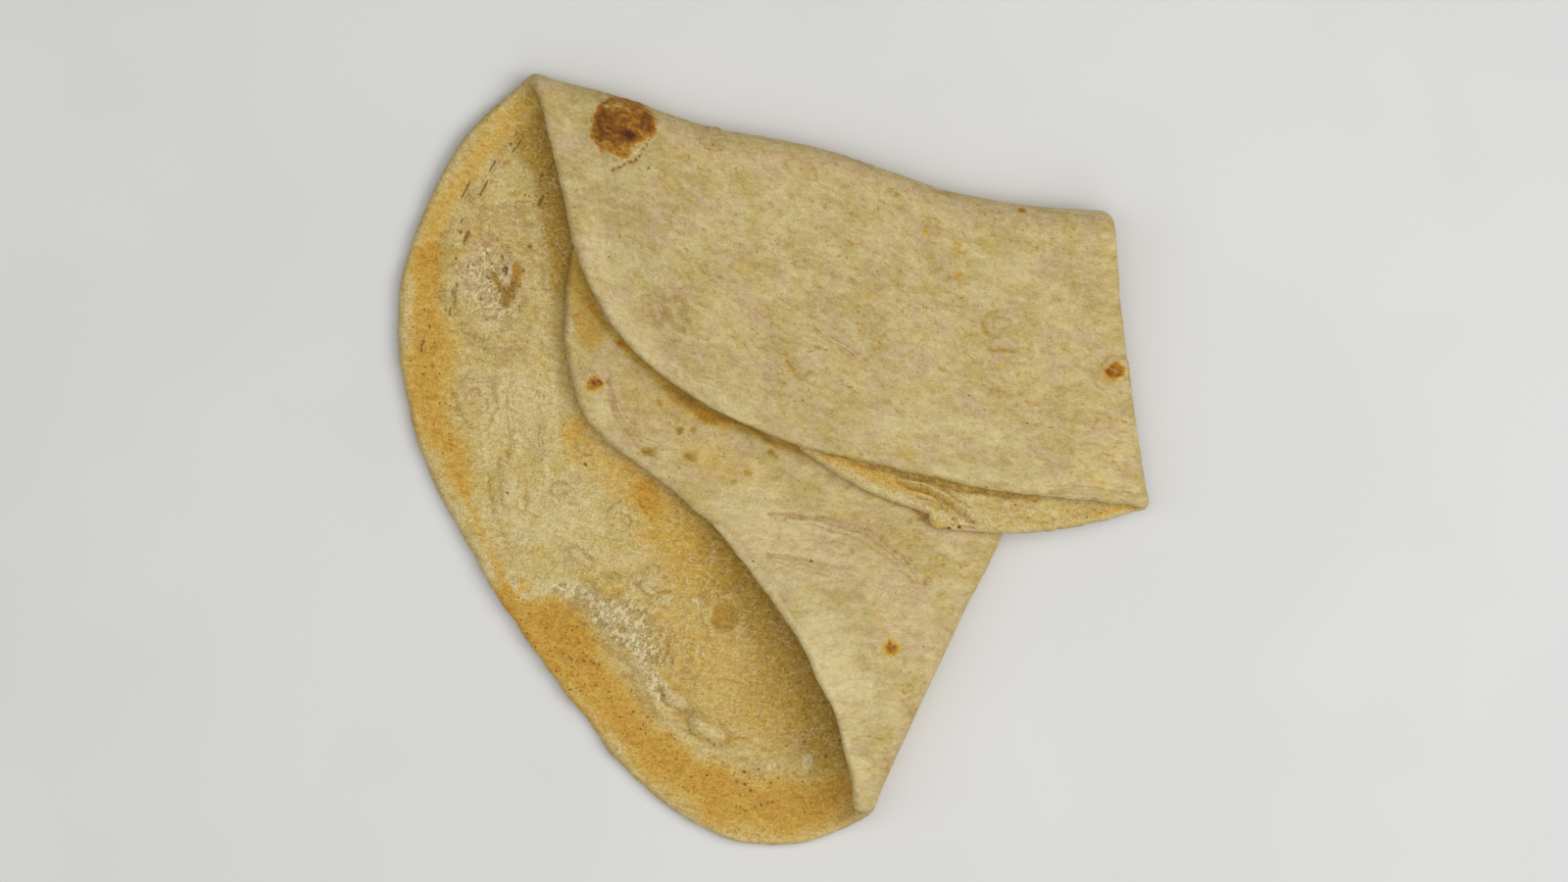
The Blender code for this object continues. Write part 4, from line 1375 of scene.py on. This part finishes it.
LINING_MARKS: dict[Paint, tuple[Mark, ...]] = {
    # The toasted upper rim, the torn nub and the lower tip
    Paint.TOAST: marks(
        (((20.5, 1.2), (28.6, -2), (36.5, -5.6), (45.5, -9.2), (54.5, -12)), 6.5, 0, 0.8),
        (((54.5, -11), (66, -15.5)), 4, 0, 0.4), (59.8, -24.8, 9, 4.5, -15, 0, 0.7),
        (((117, -21), (133, -17.6)), 3, 0, 0.85)),
    Paint.SCORCH_AND_PAINTED_SHADE: marks(
        (((18, 2.6), (29, -0.6)), 1.6, 0, 0.4),
        (Dots(((63.9, -25.3), (68.2, -25.2), (64.8, -27), (70.7, -27.4)), 1.7), 1.2)),
    # Painted shade in the gap under the cover and in the pleat
    Paint.DAMP_AND_PAINTED_SHADE: marks(
        (((26.5, 0.4), (46, -4.6), (66, -10), (80, -12.6), (96, -14.3)), 4.5, 0, 1),
        (((46, -8), (56, -12), (62.5, -15.8), (67, -18.9)), 1.8, 0, 0.8)),
    Paint.FLOUR_AND_PAINTED_LIGHT: marks((((28, -6.5), (45, -14.5), (60, -21), (84, -23)), 6, 1, 0.5)),
    Paint.SPLIT: marks(
        (Dots((
            (107.5, -19.8), (111.8, -17), (115, -21.6), (108.5, -23.2), (120.6, -20), (125.4, -17.8),
            (88, -17.5), (76.6, -20.4)), 1.2), 0.9)),
}
FLAP_MARKS: dict[Paint, tuple[Mark, ...]] = {
    # Painted shade along the cover's edge, where its shadow falls on the flap
    Paint.DAMP_AND_PAINTED_SHADE: marks(
        (((-69, 66), (-64, 53), (-56, 41.5), (-41, 27.5), (-21, 15.5), (-2, 7), (12, 3)), 7, 1, 0.9, 0.1),
        (((-73, 70), (-70, 54), (-66, 44)), 16, 1, 0.8, 0.2), (-42, 19, 64, 32, -42, 0.2, 0.4, 0.2)),
    Paint.SCORCH_AND_PAINTED_SHADE: marks(
        # The first is painted shade, brown, where the cover's edge shades the flap
        (-67, 56, 4.5, 13, 20, 0.3, 0.34, 0.1), (-65.7, 27.9, 7.2, 5.8, 10, 0.2, 0.7, 0.3),
        (-72, 53, 4.5, 3.5, 0, 0, 0.3), (-55.6, 41.4, 6.5, 4, -40, 0.3, 0.5),
        (-24.5, 16.2, 14, 7, -18, 0.3, 0.5, 0.1), (43.4, -69.2, 7, 8, 20, 0.2, 0.66, 0.2)),
    Paint.TOAST: marks(
        (-65.7, 27.4, 9, 7.5, 0, 0, 1.2), (-20, -1, 62, 30, -35, 0.4, 0.42, 0.2),
        *((x, y, 4.6, 3.2, turn, 0.3, amount) for x, y, turn, amount in (
            (-42.2, 19.8, -40, 0.9), (-8.5, -5.8, -30, 0.85), (-13.9, -9.4, -30, 0.75),
            (0.5, -13.7, -40, 0.7), (36.4, -39.5, 0, 0.5), (60, -38, 70, 0.6), (71.6, -30.6, 80, 0.55),
            (43, -76.5, 0, 0.35), (16, -11, 0, 0.3), (55, -44, 70, 0.35), (-58, 0.5, -40, 0.3))),
        (((-36, 24), (-28, 18.5), (-18, 14)), 13, 1, 1.1, 0.2), (43.4, -69.2, 9, 10, 20, 0.2, 1.3),
        (((38, -55), (39.6, -60.5), (42, -65)), 3.4, 0.5, 0.45)),
    # Freckles by the cover, larger stains, and painted shade along the wrinkles
    Paint.OLIVE: marks(
        *((x, y, 4.6, 3.8, -30, 0.3, amount) for x, y, amount in (
            (-49.4, 25, 0.7), (-39.6, 26, 0.8), (-34.2, 9.9, 1.1), (-29.2, 10.2, 0.9), (-60, 33, 0.4),
            (-9.5, -6.2, 0.9), (-14.5, -9.6, 0.8), (-0.8, 2.2, 1.2), (-20, 4, 0.6), (-56.5, 24, 0.5),
            (-42.2, 19.8, 0.8), (0.5, 0.5, 0.9), (-5, -2, 0.6), (-24, -6, 0.5), (60, -38, 0.6))),
        (((-38, 26), (-33.5, 22), (-26, 17.5), (-17.5, 14.5)), 11, 1, 1.05, 0.1),
        (-23.5, 15.8, 13, 8, -15, 0.3, 1.2, 0.1), (-46.5, 2.6, 11, 5, -15, 0.35, 1.1, 0.1),
        (-30.2, 0.6, 9, 5.4, -25, 0.35, 1.2, 0.15), (((-15, 13), (-6, 8.8), (1, 5.6)), 4.4, 0.6, 1, 0.1),
        (((52, -19), (57, -23.5)), 4.4, 0.4, 1, 0.1),
        # Painted shade along the wrinkles
        *((points, 1.5, 0.5, 0.42, 0.1) for points in (
            ((-2, -20), (16, -21.4), (34.7, -26.5)), ((34.7, -26.5), (47.3, -35.5), (55.6, -45.9)),
            ((-2, -34.4), (13.5, -38.3), (27.5, -40.5)), ((-6, -29), (8, -30), (22, -31.5))))),
    Paint.SPLIT: marks(
        (Dots((
            (-38, -6.7), (-24.3, -8.8), (-7.7, -37.3), (13.5, -38.3), (-8.8, -11.3), (-7.8, -11.5),
            (36, -48), (50, -53), (-70, 33.3), (8, 0.5)), 1.2), 0.9)),
    Paint.ROSY: marks(
        (14, -33, 74, 34, -22, 0.2, 0.7), (-22, -10, 40, 12, -35, 0.2, 0.5),
        (((-61, 29.7), (-60.2, 20.7), (-56.6, 13.5), (-50.6, 5.5), (-43.7, 0.9)), 4, 0, 0.8),
        (((-2, -20), (16, -21.4), (34.7, -26.5), (47.3, -35.5), (55.6, -45.9)), 3, 0, 0.9),
        (((-2, -34.4), (13.5, -38.3), (27.5, -40.5)), 3.4, 0, 0.9),
        (46, -58, 50, 40, -60, 0.3, 0.55, 0.3)),
    Paint.FLOUR_AND_PAINTED_LIGHT: marks(
        # The first two are painted light along the rim, where its rounded edge turns from the lamps
        (((-66, 22), (-60, 8), (-42, -7), (-21, -26)), 5, 0, 0.45, 0.1),
        (((-21, -26), (2, -54), (16, -78), (26, -104)), 8, 0, 0.8, 0.3),
        (2, -27, 118, 56, -36, 0.2, 0.62, 0.2), (-42, 15, 46, 16, -42, 0.3, 0.42, 0.2),
        # Painted light at the lower corner first
        (30, -114, 18, 24, 20, 0.3, 0.5, 0.3), (22, -74, 68, 40, -60, 0.3, 0.75),
        (50, -60, 44, 34, -60, 0.3, 0.45, 0.3)),
}
FLOOR_MARKS: dict[Paint, tuple[Mark, ...]] = {
    # Golden browning: left rim, bottom rim, by the flap's rim, faint over the middle
    Paint.TOAST: marks(
        (((-88, 131), (-100, 120), (-112, 106), (-120, 95), (-125, 84), (-127, 73)), 16, 0, 0.75, 0.1),
        (((-127.5, 73), (-127.5, 55), (-126, 42), (-125.5, 28), (-124.5, 16), (-121.5, 5),
          (-118, -3)), 27, 4, 1, 0.15),
        (((-118, -3), (-112, -16), (-106, -30), (-100.5, -43)), 7, 0, 0.7),
        (((-96, -56), (-80, -67), (-64, -86), (-46, -106), (-28, -120), (-6, -128), (14, -127),
          (25, -120)), 34, 4, 1.05, 0.2),
        (-76, -65, 36, 23, -50, 0.15, 1.1, 0.6), (-8, -121, 40, 18, -8, 0.15, 0.5, 0.4),
        (((-72, 8), (-58, -4), (-46, -15), (-36, -29)), 26, 2.5, 0.62, 0.1),
        (((-54, -3), (-43, -13), (-30, -22)), 12, 1, 0.6, 0.1), (-46, -13, 26, 17, -45, 0.25, 0.95, 0.3),
        (-73, 10, 15, 26, -20, 0.3, 0.7, 0.2), (-33, -66, 40, 48, 30, 0.25, 0.55, 0.3),
        (-57.5, -49.5, 16, 8, 10, 0.3, 0.7, 0.3), (-20, -78, 100, 58, -48, 0.3, 0.45, 0.3),
        (-42, -32, 46, 24, -50, 0.4, 0.5, 0.3), (-33, -44, 30, 30, 30, 0.25, 0.45, 0.3),
        (-88, 38, 14, 22, 0, 0.3, 0.25, 0.2)),
    # In the browned skin and the rough patch
    Paint.PITS: marks(
        (((-127.5, 52), (-126, 32), (-121, 8)), 15, 0, 0.55),
        (((-96, -56), (-64, -86), (-28, -118), (14, -124)), 24, 0, 0.6), (-78, -64, 18, 12, -40, 0, 0.7),
        (-85, 90, 22, 46, 20, 0, 0.5), (10, -92, 36, 44, 20, 0, 0.35), (-103, 67, 27, 36, 10, 0.25, 0.75),
        (-75.5, 74.5, 10, 15, 10, 0.25, 0.8),
        (Dots(((-26, -79.5), (-28, -77.5), (-24.5, -81), (-38.5, -68)), 2.6), 0.9)),
    # The slits, the nicks of the rough patch, the fibres and bran
    Paint.SPLIT: marks(
        *((points, 1.3, 0.3, 0.85) for points in SLITS),
        *((points, 1.1, 0.3, 0.8) for points in (
            ((-104.8, 76.7), (-105.2, 74.6)), ((-102.3, 84), (-103.1, 82.6)),
            ((-105, 70.1), (-105.3, 68.1)), ((-99.9, 71.8), (-100.1, 68.5)),
            ((-92.2, 72.2), (-91.7, 68.1)), ((-89.5, 79.9), (-89.8, 77.9)),
            ((-93.3, 63.6), (-95.3, 59.8), (-97.4, 55.4)), ((-111.3, 71.8), (-111.5, 69.7)),
            ((-104.8, 66.4), (-105.2, 63.6)), ((-99.9, 61.1), (-100.7, 63.6)),
            ((-106, 59.9), (-106.8, 57.8)), ((-102.3, 57.8), (-103.1, 54.6)),
            ((-100.7, 55.4), (-100.9, 52.9)), ((-104.8, 50.5), (-104.4, 48.8)),
            ((-77.3, 75.8), (-76.1, 72.6)), ((-76.5, 70.1), (-75.9, 68.1)),
            ((-73.3, 79.1), (-72.8, 76.7)), ((-79.8, 77.5), (-80.6, 75)))),
        (((-116.5, 64), (-117.5, 57), (-118.3, 51)), 2.2, 0.3, 0.7),
        (((-105.5, -2.7), (-104, -12.4), (-100.5, -24.5), (-97.5, -32)), 1.3, 0.4, 0.4),
        (Dots((
            (-34.4, -65), (-36.5, -75.4), (-53.1, -79.4), (-35.5, -19.6), (-68.6, -2), (-97.4, -12),
            (-74, -95), (-126, 48), (-121, 27), (12, -104.6), (19.3, -109.6), (-7, -102.4)), 1.3), 1)),
    Paint.SCORCH_AND_PAINTED_SHADE: marks(
        (((-50, -16), (-46, -20.5), (-44.8, -23.5)), 1.8, 0.6, 0.45),
        (((-94, 69.5), (-95.3, 64), (-98, 58.5)), 4.4, 0.8, 0.3, 0.1), (-19, -60, 10, 9, 0, 0.4, 0.22),
        (-114, 23, 2.6, 2.4, 0, 0, 0.35)),
    # The rough patch and the crusts
    Paint.FLAKY: marks(
        (-103, 65, 29, 43, 10, 0.35, 0.56, 0.5), (-54.2, -62.1, 38, 17, -42, 0.3, 0.75, 0.6),
        (((-80, -47), (-66, -51), (-55, -62), (-46, -76), (-38, -90)), 9, 1, 0.55, 0.3),
        (-42, -66, 60, 40, -50, 0.5, 0.45, 0.2),
        *((*oval, 0.3, 0.6, 0.5) for oval in CRUSTS)),
    Paint.ROSY: marks(
        (-103, 66, 26, 34, 10, 0.25, 0.8, 0.5), (-54, -63, 12, 8, -40, 0.3, 0.9, 0.5),
        (-36, -88.4, 11, 7, -42, 0, 0.9)),
    # The crusts, the shreds, pale stretches and the pale rim
    Paint.FLOUR_AND_PAINTED_LIGHT: marks(
        (-103, 58, 25, 34, 10, 0.3, 0.45, 0.4), (-54.2, -62.1, 36, 15, -42, 0.4, 0.7, 0.5),
        (((-92, -50), (-78, -47), (-66, -51), (-55, -62), (-46, -76), (-38, -90)), 9, 1, 0.75, 0.3),
        *((*oval, 0.3, 1.15, 0.5) for oval in CRUSTS),
        *((points, 1.5, 0.3, 0.85) for points in SHREDS),
        (-92, 20, 44, 50, 0, 0.4, 0.6, 0.3), (((-132.5, 84), (-134.5, 66), (-134, 50)), 6, 0.5, 0.45),
        (-84, -20, 50, 52, 20, 0.4, 0.6, 0.3), (-62, -30, 54, 36, -40, 0.4, 0.45, 0.3),
        (-103, 50, 20, 16, 0, 0.3, 0.6, 0.3), (-96.5, -12, 11, 25, 12, 0.2, 0.6),
        *((points, 4, 1.5, 0.62, 0.2) for points in (
            ((-107, 28), (-106.5, 10), (-105.5, -8)), ((-97.5, 25), (-94.5, 12), (-91, -1)),
            ((-104, -44), (-106, -34), (-106, -22)), ((-81, 31), (-78, 2)),
            ((-87, 26), (-86, 6), (-83, -10)), ((-96, -42), (-86, -46)), ((-68, -16), (-62, -28)),
            ((-102, 40), (-101, 34)))),
        *((points, 4, 0.5, 0.45) for points in (
            ((-73.5, -85), (-65, -97)), ((-60, -101.5), (-53.5, -111)),
            ((-51, -114), (-40, -125), (-27.5, -135)),
            ((-26, -136.5), (-4, -140.8), (18, -139.3), (28.5, -135)))),
        # A painted highlight along the top of the long blister
        (((-30, -95.8), (-24, -98.6), (-19, -101.2)), 3, 0, 0.6)),
    # The torn spots, and painted shade along the feet of the blisters and bubbles
    Paint.OLIVE: marks(
        (((-93.5, 69.5), (-95.3, 64), (-98.4, 57)), 5.8, 1.2, 1.4, 0.1),
        (((-103.4, 66.5), (-101.2, 63.6), (-98.8, 60.6)), 4, 0.8, 1.3, 0.1),
        (-103, 73, 20, 13, 20, 0.4, 0.42, 0.2), (-54.8, -62.3, 8, 5, -30, 0.3, 0.7, 0.2),
        (((-41.5, -84), (-40, -90), (-34, -93.5)), 2.4, 0, 0.9),
        (((-31.5, -97), (-28.5, -101.8), (-22, -105), (-17, -105), (-15.8, -102)), 2.2, 0, 0.9),
        (((-49, -47), (-43, -50.5), (-37, -48.5)), 2.4, 0, 0.8), (-58, -44, 9, 7, 0, 0.2, 0.6),
        (-96.7, 0.5, 4, 9, 0, 0.2, 0.7), (((-91.5, -5), (-90, -15.5), (-91.5, -23)), 2.2, 0, 0.6),
        (-17.5, -58.8, 14, 14, 0, 0.35, 0.8, 0.4)),
    # Browner crust and painted shade under the cover's edge, by the flap's rim and in the pocket
    Paint.DAMP_AND_PAINTED_SHADE: marks(
        (((-86, 124), (-79, 104), (-75, 86), (-72, 66)), 30, 2, 1.2, 0.3),
        (((-79.5, 62), (-79.5, 45), (-77, 30), (-70, 14)), 8, 1, 0.25, 0.2),
        (((-32, -24), (-14, -43), (2, -64), (15, -86), (24, -106)), 38, 2, 1.1, 0.2),
        (2, -86, 50, 56, 20, 0.2, 0.7, 0.3), (-27, -42, 30, 40, 40, 0.2, 0.6, 0.3)),
}
MARKS: dict[Surface, dict[Paint, tuple[Mark, ...]]] = {
    Surface.COVER: COVER_MARKS, Surface.LINING: LINING_MARKS, Surface.FLAP: FLAP_MARKS,
    Surface.FLOOR: FLOOR_MARKS}


def main() -> None:
    """Build the bread and the studio round it."""
    bread = Bread().build()
    bread.data.materials.append(BakedCrust().build())
    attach(bread, BODY)
    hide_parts(CAD_NODE)
    bread.data.calc_loop_triangles()
    log.info("%s: %d triangles", bread.name, len(bread.data.loop_triangles))
    Studio().build()


if __name__ == "__main__":
    main()
